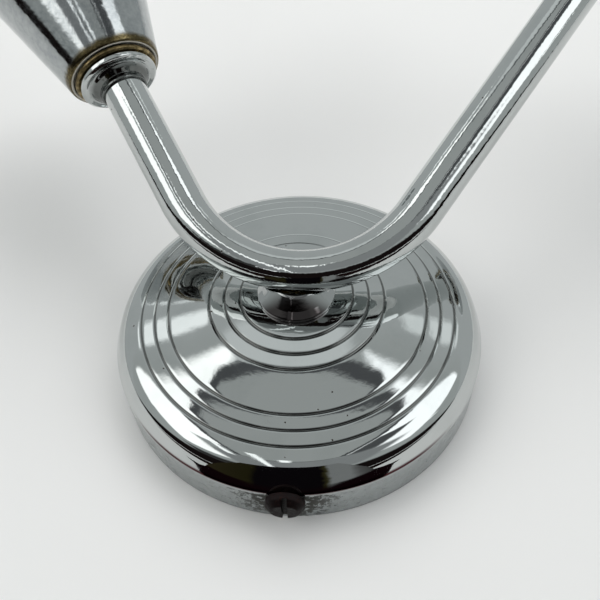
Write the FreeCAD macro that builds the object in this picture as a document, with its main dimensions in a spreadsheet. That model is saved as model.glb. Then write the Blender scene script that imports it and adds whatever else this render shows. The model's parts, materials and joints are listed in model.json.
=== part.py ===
import FreeCAD, Part
import math
import os

import Sketcher

# A two-arm chromed wall light: a stepped round backplate, one bent tube with an arm to each side,
# and a spun cone with a bayonet lampholder at the end of each arm.
#
# Row frame, in millimetres: the wall is the plane Y = 0, the light stands out of it towards -Y,
# +Z is up, and the origin is the middle of the strap bracket's back.
# The pieces behind and on the backplate are drawn in the plate frame: X right, Y up the wall,
# Z out of the wall. The pieces at an arm's end are drawn in that end's frame: Z runs along the
# arm, away from the backplate, and Z = 0 is the middle of the ferrule's rim.

Vector = FreeCAD.Vector
Rotation = FreeCAD.Rotation
Placement = FreeCAD.Placement

X_AXIS = Vector(1, 0, 0)
Y_AXIS = Vector(0, 1, 0)
Z_AXIS = Vector(0, 0, 1)

SIZES = {
    # spun backplate
    "plate_radius": 54,
    "plate_wall": 1.0,
    "skirt_height": 12.8,
    "skirt_lean": 0.2,
    "shoulder_lean": 3.0,
    "shoulder_height": 20.2,
    "shoulder_round": 8.0,
    "outer_tier_radius": 44.8,
    "outer_tier_pitch": 4.0,
    "outer_tier_height": 21.3,
    "outer_tier_rise": 0.9,
    "inner_tier_radius": 24.8,
    "inner_tier_pitch": 4.45,
    "inner_tier_height": 25.4,
    "inner_tier_rise": 0.8,
    "tier_step": 0.35,
    "tier_round": 0.25,
    "groove_width": 0.8,
    "groove_depth": 0.3,
    # bent tube and the way it stands on the plate
    "tube_radius": 6.35,
    "tube_wall": 1.0,
    "tube_height": 36.1,
    "bend_radius": 39,
    "arm_half_angle": 32,
    "arm_tilt": 30,
    "arm_turn": 2,
    "left_arm_length": 42,
    "right_arm_length": 92,
    # boss, hollow nipple and what clamps them to the plate
    "boss_radius": 11,
    "boss_top": 33,
    "boss_crown": 4.0,
    "nipple_radius": 5.0,
    "nipple_bore_radius": 4.1,
    "nipple_bottom": 16.5,
    "nipple_top": 31.2,
    "thread_clearance": 0.05,
    "running_clearance": 0.08,
    "stiffener_radius": 13.5,
    "stiffener_thickness": 1.5,
    "washer_radius": 9,
    "washer_thickness": 1.0,
    "nut_across_corners": 17,
    "nut_thickness": 3.5,
    # strap bracket on the wall, with the screw and the peg that hold the plate
    "strap_half_length": 47,
    "strap_width": 18,
    "strap_thickness": 2.0,
    "strap_tab_height": 14,
    "strap_bend": 2.5,
    "ear_reach": 34,
    "ear_width": 28,
    "wall_hole_pitch": 51,
    "wall_slot_width": 4.5,
    "wall_slot_length": 9,
    "side_screw_height": 10,
    "side_screw_radius": 2.0,
    "side_screw_length": 11,
    "side_head_radius": 5.1,
    "side_head_height": 3.2,
    "screw_slot_width": 1.4,
    "screw_slot_depth": 1.6,
    "peg_radius": 2.0,
    "peg_length": 9,
    # terminal block and earth screw
    "block_offset": 24,
    "block_length": 26,
    "block_width": 16,
    "block_height": 12,
    "pole_pitch": 8,
    "pole_height": 6,
    "pole_radius": 2.4,
    "pole_bore_radius": 1.7,
    "pole_screw_radius": 1.25,
    "pole_screw_offset": 4.2,
    "small_screw_radius": 1.5,
    "small_head_radius": 2.8,
    "small_head_height": 1.8,
    "earth_offset": 12,
    "earth_cup_radius": 4.4,
    # ferrule and spun cone
    "ferrule_radius": 11.5,
    "ferrule_neck_radius": 7.0,
    "ferrule_neck_length": 3.8,
    "ferrule_flange": 1.5,
    "ferrule_spigot_radius": 9.1,
    "ferrule_height": 6,
    "seat_washer_radius": 12.4,
    "seat_washer_thickness": 1.3,
    "cone_lip_radius": 12.6,
    "cone_lip_height": 3.0,
    "cone_foot_radius": 14.2,
    "cone_foot_height": 4.6,
    "cone_mouth_radius": 37,
    "cone_length": 90,
    "cone_wall": 1.0,
    "cone_floor": 1.2,
    "cone_bead": 1.1,
    # threaded bush in the tube's end, and the nut that clamps the cone
    "bush_depth": 10,
    "bush_top": 21,
    "bush_bore_radius": 3.4,
    "cone_nut_across_corners": 18,
    "cone_nut_thickness": 3,
    # bayonet lampholder
    "cap_bottom": 11.5,
    "cap_radius": 14.2,
    "cap_top": 30,
    "cap_wall": 0.9,
    "insulator_bottom": 21.5,
    "insulator_top": 32,
    "insulator_radius": 10.9,
    "barrel_bottom": 22,
    "barrel_top": 54,
    "socket_radius": 11.15,
    "socket_bottom": 37.5,
    "barrel_wall": 1.0,
    "band_radius": 13.9,
    "band_top": 42,
    "ring_radius": 18.5,
    "ring_bottom": 35,
    "ring_thickness": 5,
    "bayonet_slot_width": 2.8,
    "bayonet_slot_depth": 10,
    "bayonet_turn": 22,
    "plunger_offset": 5.25,
    "plunger_radius": 1.6,
    "plunger_collar_radius": 2.1,
    "plunger_bore_radius": 2.18,
    "plunger_reach": 5.0,
    "spring_radius": 1.5,
    "spring_wire_radius": 0.22,
    "spring_turns": 6,
    # two-core flex held inside the tube
    "flex_radius": 1.6,
    "flex_offset": 1.9,
    "flex_bend": 5.0,
    "flex_long_bend": 26.0,
}

# --- the sheet, and sizes that know their own expression ---------------------------------------


class Size:
    """A length or angle that carries its value and the sheet expression that gives it."""

    def __init__(self, value, text=None):
        self.value = float(value)
        self.text = text or repr(float(value))

    def join(self, sign, other, value):
        return Size(value, "(%s %s %s)" % (self.text, sign, other.text))

    def __add__(self, other):
        other = as_size(other)
        return self.join("+", other, self.value + other.value)

    def __sub__(self, other):
        other = as_size(other)
        return self.join("-", other, self.value - other.value)

    def __mul__(self, other):
        other = as_size(other)
        return self.join("*", other, self.value * other.value)

    def __truediv__(self, other):
        other = as_size(other)
        return self.join("/", other, self.value / other.value)

    def __neg__(self):
        return Size(0) - self


def as_size(value):
    return value if isinstance(value, Size) else Size(value)


class SizeSheet:
    """The spreadsheet of driving sizes; each alias reads as an attribute that is a Size."""

    def __init__(self, document, sizes):
        sheet = document.addObject("Spreadsheet::Sheet", "Sizes")
        for row, (name, value) in enumerate(sizes.items(), start=1):
            sheet.set("A%d" % row, name)
            sheet.set("B%d" % row, str(value))
            sheet.setAlias("B%d" % row, name)
            setattr(self, name, Size(value, "Sizes." + name))


doc = FreeCAD.newDocument("wall_light")
size = SizeSheet(doc, SIZES)
doc.recompute()

nodes = []


def bind(item, **properties):
    for name, value in properties.items():
        item.setExpression(name, as_size(value).text)
    return item


def keep(item, label, frame):
    """Names a finished sub-part, puts it in its frame and marks it to be written."""
    item.Label = label
    item.Placement = frame
    nodes.append(item)
    return item


# --- frames --------------------------------------------------------------------------------------

PLATE_FRAME = Placement(Vector(0, 0, 0), Rotation(X_AXIS, 90))


def arm_frame():
    """X right, Y up the middle of the V, Z square to the V; the origin is the bend's lowest point."""
    turned = Placement(Vector(0, 0, size.tube_height.value), Rotation(Z_AXIS, -size.arm_turn.value))
    tilted = Placement(Vector(0, 0, 0), Rotation(X_AXIS, size.arm_tilt.value))
    return turned.multiply(tilted)


ARM_IN_PLATE = arm_frame()
ARM_FRAME = PLATE_FRAME.multiply(ARM_IN_PLATE)
ARM_ANGLE = math.radians(size.arm_half_angle.value)


def arm_direction(side):
    return Vector(side * math.sin(ARM_ANGLE), math.cos(ARM_ANGLE), 0)


def bend_end(side):
    """Where the bend of the tube ends and the straight arm begins, in the arm frame."""
    radius = size.bend_radius.value
    return Vector(side * radius * math.cos(ARM_ANGLE), radius * (1 - math.sin(ARM_ANGLE)), 0)


def arm_length(side):
    return size.left_arm_length if side < 0 else size.right_arm_length


def end_in_arm(side):
    """The frame of one arm's end, inside the arm frame."""
    origin = bend_end(side) + arm_direction(side) * arm_length(side).value
    lean = Rotation(Z_AXIS, -side * size.arm_half_angle.value)
    return Placement(origin, lean.multiply(Rotation(X_AXIS, -90)))


def end_frame(side):
    return ARM_FRAME.multiply(end_in_arm(side))


# --- building blocks -----------------------------------------------------------------------------


def new_body(name):
    return doc.addObject("PartDesign::Body", name)


def sketch_on(body, role, name):
    """A sketch on one of the body's own origin planes, such as XY_Plane."""
    plane = [item for item in body.Origin.OriginFeatures if item.Role == role][0]
    sketch = body.newObject("Sketcher::SketchObject", name)
    sketch.AttachmentSupport = [(plane, "")]
    sketch.MapMode = "FlatFace"
    return sketch


def draw_outline(sketch, corners):
    """A closed outline of straight edges; each corner's two distances come from the sheet."""
    corners = [(as_size(across), as_size(up)) for across, up in corners]
    points = [Vector(across.value, up.value, 0) for across, up in corners]
    count = len(points)
    first = sketch.GeometryCount
    for index in range(count):
        sketch.addGeometry(Part.LineSegment(points[index], points[(index + 1) % count]), False)
    for index in range(count):
        here, following = first + index, first + (index + 1) % count
        sketch.addConstraint(Sketcher.Constraint("Coincident", here, 2, following, 1))
        for kind, distance in zip(("DistanceX", "DistanceY"), corners[index]):
            number = sketch.addConstraint(Sketcher.Constraint(kind, here, 1, distance.value))
            sketch.setExpression("Constraints[%d]" % number, distance.text)


def draw_circle(sketch, across, up, radius):
    across, up, radius = as_size(across), as_size(up), as_size(radius)
    circle = Part.Circle(Vector(across.value, up.value, 0), Z_AXIS, radius.value)
    index = sketch.addGeometry(circle, False)
    number = sketch.addConstraint(Sketcher.Constraint("Radius", index, radius.value))
    sketch.setExpression("Constraints[%d]" % number, radius.text)
    for kind, distance in (("DistanceX", across), ("DistanceY", up)):
        number = sketch.addConstraint(Sketcher.Constraint(kind, index, 3, distance.value))
        sketch.setExpression("Constraints[%d]" % number, distance.text)


def turned_body(name, corners):
    """A body turned about its own Z axis from corners given as (radius, height)."""
    body = new_body(name)
    sketch = sketch_on(body, "XZ_Plane", name + "_outline")
    draw_outline(sketch, corners)
    turned = body.newObject("PartDesign::Revolution", name + "_turned")
    turned.Profile = sketch
    turned.ReferenceAxis = (sketch, ["V_Axis"])
    turned.Angle = 360
    doc.recompute()
    return body


def round_circles(body, name, radius, circles):
    """Fillets the edges that are full circles about the Z axis at the (radius, height) given."""
    wanted = [(as_size(across).value, as_size(up).value) for across, up in circles]
    base = body.Tip
    edges = []
    for number, edge in enumerate(base.Shape.Edges, start=1):
        if isinstance(edge.Curve, Part.Circle) and edge.Curve.Center.x ** 2 < 1e-6:
            place = (edge.Curve.Radius, edge.Curve.Center.z)
            if any(math.dist(place, spot) < 1e-3 for spot in wanted):
                edges.append("Edge%d" % number)
    if len(edges) != len(wanted):
        raise ValueError("%s found %d of %d edges" % (name, len(edges), len(wanted)))
    fillet = body.newObject("PartDesign::Fillet", name)
    fillet.Base = (base, edges)
    bind(fillet, Radius=radius)
    doc.recompute()


def pocket(body, sketch, name, depth=None, reverse=False, both=False):
    """Cuts a sketch out of a body and makes sure that it did."""
    before = body.Shape.Volume
    cut_out = body.newObject("PartDesign::Pocket", name)
    cut_out.Profile = sketch
    cut_out.Reversed = reverse
    cut_out.Midplane = both
    if depth is None:
        cut_out.Type = "ThroughAll"
    else:
        bind(cut_out, Length=depth)
    doc.recompute()
    if body.Shape.Volume > before - 1e-6:
        raise ValueError("%s cuts nothing" % name)
    return cut_out


def cylinder(name, radius, height, base=Vector(0, 0, 0), direction=Z_AXIS):
    item = doc.addObject("Part::Cylinder", name)
    bind(item, Radius=radius, Height=height)
    item.Placement = Placement(base, Rotation(Z_AXIS, direction))
    return item


def box(name, length, width, height, corner):
    item = doc.addObject("Part::Box", name)
    bind(item, Length=length, Width=width, Height=height)
    item.Placement = Placement(corner, Rotation())
    return item


def hexagon(name, across_corners, height, base):
    item = doc.addObject("Part::Prism", name)
    item.Polygon = 6
    bind(item, Circumradius=across_corners / 2, Height=height)
    item.Placement = Placement(base, Rotation())
    return item


def fused(name, items):
    item = doc.addObject("Part::MultiFuse", name)
    item.Shapes = items
    return item


def cut(name, base, tools):
    item = doc.addObject("Part::Cut", name)
    item.Base = base
    item.Tool = tools[0] if len(tools) == 1 else fused(name + "_tools", tools)
    return item


def up(distance):
    return Vector(0, 0, as_size(distance).value)


# --- backplate and what is fixed behind it -----------------------------------------------------


def tiers():
    """(radius, height) of the top edge of each tier, from the rim inwards."""
    outer = [
        (size.outer_tier_radius - size.outer_tier_pitch * step,
         size.outer_tier_height + size.outer_tier_rise * step)
        for step in range(3)
    ]
    inner = [
        (size.inner_tier_radius - size.inner_tier_pitch * step,
         size.inner_tier_height + size.inner_tier_rise * step)
        for step in range(3)
    ]
    return outer + inner


def plate_surface(inset, grooved):
    """Corners of the plate's face from the skirt's foot to the middle, moved in by the inset."""
    radius = size.plate_radius - inset
    crease = size.skirt_height - inset * 0.2
    shoulder = (radius - size.skirt_lean - size.shoulder_lean + inset * 0.33, size.shoulder_height - inset)
    corners = [(radius, Size(0)), (radius - size.skirt_lean, crease), shoulder]
    before, before_height = shoulder
    for tier_radius, tier_height in tiers():
        here, top = tier_radius - inset, tier_height - inset
        foot = top - size.tier_step
        if grooved:
            share = size.groove_width / (before - here)
            corners.append((here + size.groove_width, foot - (foot - before_height) * share))
            foot = foot - size.groove_depth
        corners.append((here, foot))
        corners.append((here, top))
        before, before_height = here, top
    corners.append((size.nipple_radius + size.running_clearance, tiers()[-1][1] - inset))
    return corners


def make_backplate():
    """Spun canopy: a skirt, a round shoulder and six low tiers with a turned groove at each foot."""
    face = plate_surface(Size(0), True)
    back = plate_surface(size.plate_wall, False)
    body = turned_body("backplate_body", face + back[::-1])
    round_circles(body, "shoulder", size.shoulder_round, [face[2]])
    round_circles(body, "inner_shoulder", size.shoulder_round - size.plate_wall, [back[2]])
    round_circles(body, "tier_edges", size.tier_round, tiers())
    sketch = sketch_on(body, "XZ_Plane", "side_hole")
    draw_circle(sketch, 0, size.side_screw_height, size.side_screw_radius + size.running_clearance)
    pocket(body, sketch, "side_hole_cut", size.plate_radius + 1, reverse=True)
    return keep(body, "backplate", PLATE_FRAME)


def make_stiffener():
    top = tiers()[-1][1] - size.plate_wall
    bottom = top - size.stiffener_thickness
    bore = size.nipple_radius + size.running_clearance
    body = turned_body("stiffener_body", [
        (bore, bottom), (size.stiffener_radius, bottom), (size.stiffener_radius, top), (bore, top)])
    return keep(body, "stiffener_disc", PLATE_FRAME)


def washer_bottom():
    return tiers()[-1][1] - size.plate_wall - size.stiffener_thickness - size.washer_thickness


def make_nipple_washer():
    bottom = washer_bottom()
    top = bottom + size.washer_thickness
    bore = size.nipple_radius + size.running_clearance
    body = turned_body("nipple_washer_body", [
        (bore, bottom), (size.washer_radius, bottom), (size.washer_radius, top), (bore, top)])
    return keep(body, "nipple_washer", PLATE_FRAME)


def make_nipple_nut():
    bottom = washer_bottom() - size.nut_thickness
    blank = hexagon("nipple_nut_blank", size.nut_across_corners, size.nut_thickness, up(bottom))
    hole = cylinder("nipple_nut_hole", size.nipple_radius + size.thread_clearance,
                    size.nut_thickness, up(bottom))
    return keep(cut("nipple_nut", blank, [hole]), "nipple_nut", PLATE_FRAME)


def make_nipple():
    body = turned_body("nipple_body", [
        (size.nipple_bore_radius, size.nipple_bottom), (size.nipple_radius, size.nipple_bottom),
        (size.nipple_radius, size.nipple_top), (size.nipple_bore_radius, size.nipple_top)])
    return keep(body, "centre_nipple", PLATE_FRAME)


def make_boss():
    """Domed boss, hollowed along the tube that rests in it."""
    foot = tiers()[-1][1] + size.thread_clearance
    bore = size.nipple_radius + size.thread_clearance
    body = turned_body("boss_body", [
        (bore, foot), (size.boss_radius, foot), (size.boss_radius, foot + 0.8),
        (size.boss_radius - size.boss_crown, size.boss_top), (bore, size.boss_top)])
    round_circles(body, "boss_edge", Size(0.6), [(size.boss_radius, foot + 0.8)])
    seat = tube_bend("tube_seat", size.tube_radius + size.thread_clearance)
    seat.Placement = ARM_IN_PLATE.multiply(seat.Placement)
    return keep(cut("boss", body, [seat]), "centre_boss", PLATE_FRAME)


# --- strap bracket, side screw and peg -----------------------------------------------------------


def make_strap():
    """Steel strap, its ends turned up into tabs, with an ear for the terminal block."""
    body = new_body("strap_body")
    half, thick, tall = size.strap_half_length, size.strap_thickness, size.strap_tab_height
    profile = sketch_on(body, "YZ_Plane", "strap_profile")
    draw_outline(profile, [
        (-half, 0), (half, 0), (half, tall), (half - thick, tall), (half - thick, thick),
        (thick - half, thick), (thick - half, tall), (-half, tall)])
    strip = body.newObject("PartDesign::Pad", "strap_strip")
    strip.Profile = profile
    strip.Midplane = True
    bind(strip, Length=size.strap_width)
    doc.recompute()
    folds = [(size.strap_half_length, Size(0)), (size.strap_half_length - thick, thick)]
    round_folds(body, "outer_folds", size.strap_bend, folds[:1])
    round_folds(body, "inner_folds", size.strap_bend - thick, folds[1:])
    ear = sketch_on(body, "XY_Plane", "ear_outline")
    side = size.ear_width / 2
    draw_outline(ear, [(-size.ear_reach, -side), (Size(0) - 1, -side), (Size(0) - 1, side),
                       (-size.ear_reach, side)])
    plate = body.newObject("PartDesign::Pad", "strap_ear")
    plate.Profile = ear
    bind(plate, Length=thick)
    doc.recompute()
    slots = sketch_on(body, "XY_Plane", "wall_slots")
    for side in (-1, 1):
        middle = size.wall_hole_pitch / 2 * side
        draw_slot(slots, middle, size.wall_slot_length, size.wall_slot_width)
    draw_circle(slots, 0, size.earth_offset, size.small_screw_radius + size.thread_clearance)
    draw_circle(slots, -size.block_offset, size.pole_pitch / 2,
                size.small_screw_radius + size.thread_clearance)
    pocket(body, slots, "wall_slots_cut", thick, reverse=True)
    ends = sketch_on(body, "XZ_Plane", "tab_holes")
    draw_circle(ends, 0, size.side_screw_height, size.side_screw_radius + size.thread_clearance)
    pocket(body, ends, "tab_holes_cut", size.strap_half_length * 3, both=True)
    return keep(body, "wall_strap", PLATE_FRAME)


def round_folds(body, name, radius, folds):
    """Fillets the edges that run along X at the (distance from the middle, height) spots given."""
    wanted = [(across.value, up.value) for across, up in folds]
    base = body.Tip
    edges = []
    for number, edge in enumerate(base.Shape.Edges, start=1):
        first, last = (vertex.Point for vertex in edge.Vertexes[:2])
        if abs(first.y - last.y) < 1e-6 and abs(first.z - last.z) < 1e-6:
            if any(math.dist((abs(first.y), first.z), spot) < 1e-3 for spot in wanted):
                edges.append("Edge%d" % number)
    if len(edges) != 2 * len(wanted):
        raise ValueError("%s found %d edges" % (name, len(edges)))
    fillet = body.newObject("PartDesign::Fillet", name)
    fillet.Base = (base, edges)
    bind(fillet, Radius=radius)
    doc.recompute()


def draw_slot(sketch, middle, length, width):
    """A slot with round ends that runs along the sketch's Y axis, centred on middle."""
    radius = width / 2
    half = (length - width) / 2
    low, high = (middle - half).value, (middle + half).value
    wide = radius.value
    arcs = []
    for height, first, last in ((high, 0, math.pi), (low, math.pi, 2 * math.pi)):
        circle = Part.Circle(Vector(0, height, 0), Z_AXIS, wide)
        arcs.append(sketch.addGeometry(Part.ArcOfCircle(circle, first, last), False))
    left = sketch.addGeometry(
        Part.LineSegment(Vector(-wide, high, 0), Vector(-wide, low, 0)), False)
    right = sketch.addGeometry(
        Part.LineSegment(Vector(wide, low, 0), Vector(wide, high, 0)), False)
    for first, end, second, start in (
            (arcs[0], 2, left, 1), (left, 2, arcs[1], 1), (arcs[1], 2, right, 1), (right, 2, arcs[0], 1)):
        sketch.addConstraint(Sketcher.Constraint("Tangent", first, end, second, start))
    for arc, height in ((arcs[0], middle + half), (arcs[1], middle - half)):
        sketch.addConstraint(Sketcher.Constraint("PointOnObject", arc, 3, -2))
        number = sketch.addConstraint(Sketcher.Constraint("DistanceY", arc, 3, height.value))
        sketch.setExpression("Constraints[%d]" % number, height.text)
    number = sketch.addConstraint(Sketcher.Constraint("Radius", arcs[0], wide))
    sketch.setExpression("Constraints[%d]" % number, radius.text)


def slotted_screw(name, thread_radius, thread_length, head_radius, head_height, slot_width, slot_depth):
    """A cheese-head screw: the thread runs down from Z = 0 and the slotted head stands on it."""
    body = turned_body(name, [
        (0, -thread_length), (thread_radius - 0.3, -thread_length),
        (thread_radius, Size(0.4) - thread_length), (thread_radius, 0), (head_radius, 0),
        (head_radius, head_height * 0.55), (head_radius * 0.72, head_height), (0, head_height)])
    sketch = sketch_on(body, "XY_Plane", name + "_slot")
    half = slot_width / 2
    reach = head_radius + 1
    draw_outline(sketch, [(-reach, -half), (reach, -half), (reach, half), (-reach, half)])
    sketch.AttachmentOffset = Placement(up(head_height - slot_depth), Rotation())
    pocket(body, sketch, name + "_slot_cut", slot_depth + 1, reverse=True)
    return body


def make_side_screw():
    """The screw that holds the plate's skirt to the strap's lower tab."""
    screw = slotted_screw("side_screw_body", size.side_screw_radius, size.side_screw_length,
                          size.side_head_radius, size.side_head_height,
                          size.screw_slot_width, size.screw_slot_depth)
    seat = Vector(0, -size.plate_radius.value, size.side_screw_height.value)
    outwards = Rotation(Z_AXIS, -Y_AXIS).multiply(Rotation(Z_AXIS, 90))
    return keep(screw, "side_fixing_screw", PLATE_FRAME.multiply(Placement(seat, outwards)))


def make_peg():
    """Peg on the inside of the skirt, opposite the side screw, that hooks into the upper tab."""
    end = (size.plate_radius - size.plate_wall - size.skirt_lean - 0.05).value
    start = Vector(0, end - size.peg_length.value, size.side_screw_height.value)
    peg = cylinder("peg", size.peg_radius, size.peg_length, start, Y_AXIS)
    shape_frame = PLATE_FRAME.multiply(peg.Placement)
    return keep(peg, "locating_peg", shape_frame)


# --- terminal block and earth screw --------------------------------------------------------------


def poles():
    """Distance of each pole of the terminal block from its middle."""
    return [size.pole_pitch * step for step in (-1, 0, 1)]


def pole_screw_spots():
    """Plate-frame spot of each terminal screw, at the level of the poles' centre lines."""
    level = size.strap_thickness.value + size.pole_height.value
    return [
        Vector(-size.block_offset.value + side * size.pole_screw_offset.value, pole.value, level)
        for pole in poles() for side in (-1, 1)
    ]


def make_terminal_block():
    corner = Vector(-size.block_offset.value - size.block_width.value / 2,
                    -size.block_length.value / 2, size.strap_thickness.value)
    blank = box("block_blank", size.block_width, size.block_length, size.block_height, corner)
    level = size.strap_thickness.value + size.pole_height.value
    holes = []
    for number, pole in enumerate(poles()):
        start = Vector(corner.x - 1, pole.value, level)
        holes.append(cylinder("pole_hole_%d" % number, size.pole_radius + size.thread_clearance,
                              size.block_width + 2, start, X_AXIS))
    for number, spot in enumerate(pole_screw_spots()):
        holes.append(cylinder("pole_well_%d" % number, size.pole_screw_radius + 0.45,
                              size.block_height, spot))
    well = Vector(-size.block_offset.value, size.pole_pitch.value / 2, size.strap_thickness.value)
    holes.append(cylinder("block_screw_hole", size.small_screw_radius - 0.25, size.block_height, well))
    return keep(cut("block", blank, holes), "terminal_block", PLATE_FRAME)


def make_terminal_tubes():
    level = size.strap_thickness.value + size.pole_height.value
    length = size.block_width - 1
    tubes = []
    for number, pole in enumerate(poles()):
        start = Vector(-size.block_offset.value - length.value / 2, pole.value, level)
        outer = cylinder("pole_outer_%d" % number, size.pole_radius, length, start, X_AXIS)
        inner = cylinder("pole_inner_%d" % number, size.pole_bore_radius, length, start, X_AXIS)
        wells = [
            cylinder("pole_tap_%d_%d" % (number, side),
                     size.pole_screw_radius + size.thread_clearance, size.pole_height, spot)
            for side, spot in enumerate(pole_screw_spots()[2 * number:2 * number + 2])
        ]
        tubes.append(cut("pole_tube_%d" % number, outer, [inner] + wells))
    return keep(fused("terminal_tube_set", tubes), "terminal_tubes", PLATE_FRAME)


def make_terminal_screws():
    screws = [
        cylinder("pole_screw_%d" % number, size.pole_screw_radius, size.pole_height - 1, spot + up(0.5))
        for number, spot in enumerate(pole_screw_spots())
    ]
    return keep(fused("terminal_screw_set", screws), "terminal_screws", PLATE_FRAME)


def make_block_screw():
    """Screw that holds the terminal block to the strap's ear."""
    body = slotted_screw("block_screw_body", size.small_screw_radius - 0.3,
                         size.block_height + size.strap_thickness - 0.1,
                         size.pole_screw_radius + 0.6, size.small_head_height,
                         size.screw_slot_width / 2, size.screw_slot_depth / 2)
    seat = Vector(-size.block_offset.value, size.pole_pitch.value / 2,
                  size.strap_thickness.value + size.block_height.value)
    return keep(body, "block_screw", PLATE_FRAME.multiply(Placement(seat, Rotation())))


def make_earth_screw():
    body = slotted_screw("earth_screw_body", size.small_screw_radius, size.strap_thickness + 0.8,
                         size.small_head_radius, size.small_head_height,
                         size.screw_slot_width / 2, size.screw_slot_depth / 2)
    seat = Vector(0, size.earth_offset.value, size.strap_thickness.value + 0.8)
    return keep(body, "earth_screw", PLATE_FRAME.multiply(Placement(seat, Rotation())))


def make_earth_washer():
    """Square-edged cup washer that traps the earth wire under its screw."""
    bore = size.small_screw_radius + size.thread_clearance
    body = turned_body("earth_washer_body", [
        (bore, 0), (size.earth_cup_radius, 0), (size.earth_cup_radius, 1.6),
        (size.earth_cup_radius - 0.8, 1.6), (size.earth_cup_radius - 0.8, 0.8), (bore, 0.8)])
    seat = Vector(0, size.earth_offset.value, size.strap_thickness.value)
    return keep(body, "earth_cup_washer", PLATE_FRAME.multiply(Placement(seat, Rotation())))


# --- bent tube and the flexes inside it ----------------------------------------------------------


def tube_bend(name, radius):
    """The curved stretch of the tube's run as part of a ring, in the arm frame."""
    bend = doc.addObject("Part::Torus", name)
    bind(bend, Radius1=size.bend_radius, Radius2=radius,
         Angle3=Size(180) - size.arm_half_angle * 2)
    start = -180 + size.arm_half_angle.value
    bend.Placement = Placement(Vector(0, size.bend_radius.value, 0), Rotation(Z_AXIS, start))
    return bend


def bent_rod(name, radius, past_ends):
    """The tube's run with any radius: two straight arms and the bend between them."""
    arms = [
        cylinder("%s_arm_%d" % (name, side), radius,
                 arm_length(side) + size.ferrule_height + past_ends,
                 bend_end(side), arm_direction(side))
        for side in (-1, 1)
    ]
    return fused(name, [tube_bend(name + "_bend", radius)] + arms)


def make_arm_tube():
    outside = bent_rod("tube_outside", size.tube_radius, 0)
    inside = bent_rod("tube_inside", size.tube_radius - size.tube_wall, 1)
    wall_side = ARM_IN_PLATE.inverse().Rotation.multVec(-Z_AXIS)
    entry = cylinder("tube_entry", size.nipple_radius + size.thread_clearance,
                     size.tube_radius + 1, Vector(0, 0, 0), wall_side)
    return keep(cut("arm_tube", outside, [inside, entry]), "arm_tube", ARM_FRAME)


def rounded_path(points, radii):
    """A wire of straight runs joined by tangent arcs, one radius for each corner between the ends."""
    edges = []
    here = points[0]
    for before, corner, after, radius in zip(points, points[1:], points[2:], radii):
        back = (before - corner).normalize()
        onward = (after - corner).normalize()
        half = back.getAngle(onward) / 2
        reach = radius / math.tan(half)
        middle = corner + (back + onward).normalize() * (radius / math.sin(half) - radius)
        start, end = corner + back * reach, corner + onward * reach
        edges.append(Part.LineSegment(here, start).toShape())
        edges.append(Part.Arc(start, middle, end).toShape())
        here = end
    edges.append(Part.LineSegment(here, points[-1]).toShape())
    return Part.Wire(edges)


def swept_rod(path, radius):
    first = path.Edges[0]
    start = first.valueAt(first.FirstParameter)
    direction = first.tangentAt(first.FirstParameter)
    ring = Part.Wire([Part.makeCircle(radius, start, direction)])
    return path.makePipeShell([ring], True, False)


def flex_route(side):
    """Terminal block, across the canopy, up the nipple, round the bend and along one arm."""
    level = size.strap_thickness.value + size.pole_height.value
    pole = -side * size.pole_pitch.value
    block_face = -size.block_offset.value + size.block_width.value / 2
    bore = side * size.flex_offset.value
    in_bore = [Vector(bore, 0, level + 4), Vector(bore, 0, size.tube_height.value)]
    corner = Vector(side * size.bend_radius.value * math.tan((math.pi / 2 - ARM_ANGLE) / 2), 0, 0)
    holder = end_in_arm(side).multVec(up(size.insulator_bottom - 0.5))
    return (
        [Vector(block_face, pole, level), Vector(block_face + 9, pole, level)]
        + in_bore
        + [ARM_IN_PLATE.multVec(corner), ARM_IN_PLATE.multVec(holder)]
    )


def make_flex(side, name):
    bend = size.flex_bend.value
    path = rounded_path(flex_route(side), [bend, bend, bend, size.flex_long_bend.value])
    flex = doc.addObject("Part::Feature", name)
    flex.Shape = swept_rod(path, size.flex_radius.value)
    expected = math.pi * size.flex_radius.value ** 2 * path.Length
    print("%s: %.1f mm long, volume %.1f of %.1f" % (name, path.Length, flex.Shape.Volume, expected))
    return keep(flex, name, PLATE_FRAME)


# --- one arm's end: ferrule, cone and lampholder -------------------------------------------------


def make_ferrule(side, name):
    """Flanged ferrule: a stepped neck round the tube, a dished face and a spigot for the cone."""
    bore = size.tube_radius + size.thread_clearance
    neck, rim, spigot = size.ferrule_neck_radius, size.ferrule_radius, size.ferrule_spigot_radius
    low, back, top = -size.ferrule_neck_length, size.ferrule_flange, size.ferrule_height
    body = turned_body(name + "_body", [
        (bore, low), (neck, low), (neck, -2.0), (neck + 1.3, -1.2), (neck + 2.2, 0),
        (rim - 0.8, -0.6), (rim, 0), (rim, back - 0.4), (rim - 0.9, back), (spigot, back),
        (spigot, top), (bore, top)])
    round_circles(body, name + "_neck_edge", Size(0.25), [(neck, low)])
    return keep(body, name, end_frame(side))


def make_seat_washer(side, name):
    """Brass washer between the ferrule's flange and the cone's rolled foot."""
    bore = size.ferrule_spigot_radius + size.thread_clearance
    rim, low = size.seat_washer_radius, size.ferrule_flange + size.thread_clearance
    high = low + size.seat_washer_thickness
    body = turned_body(name + "_body", [
        (bore, low), (rim - 0.4, low), (rim, low + 0.4), (rim, high), (bore, high)])
    return keep(body, name, end_frame(side))


def cone_radius(height):
    """Outer radius of the cone at a height above the ferrule's edge."""
    slope = (size.cone_mouth_radius - size.cone_foot_radius) / (size.cone_length - size.cone_foot_height)
    return size.cone_foot_radius + slope * (as_size(height) - size.cone_foot_height)


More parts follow.
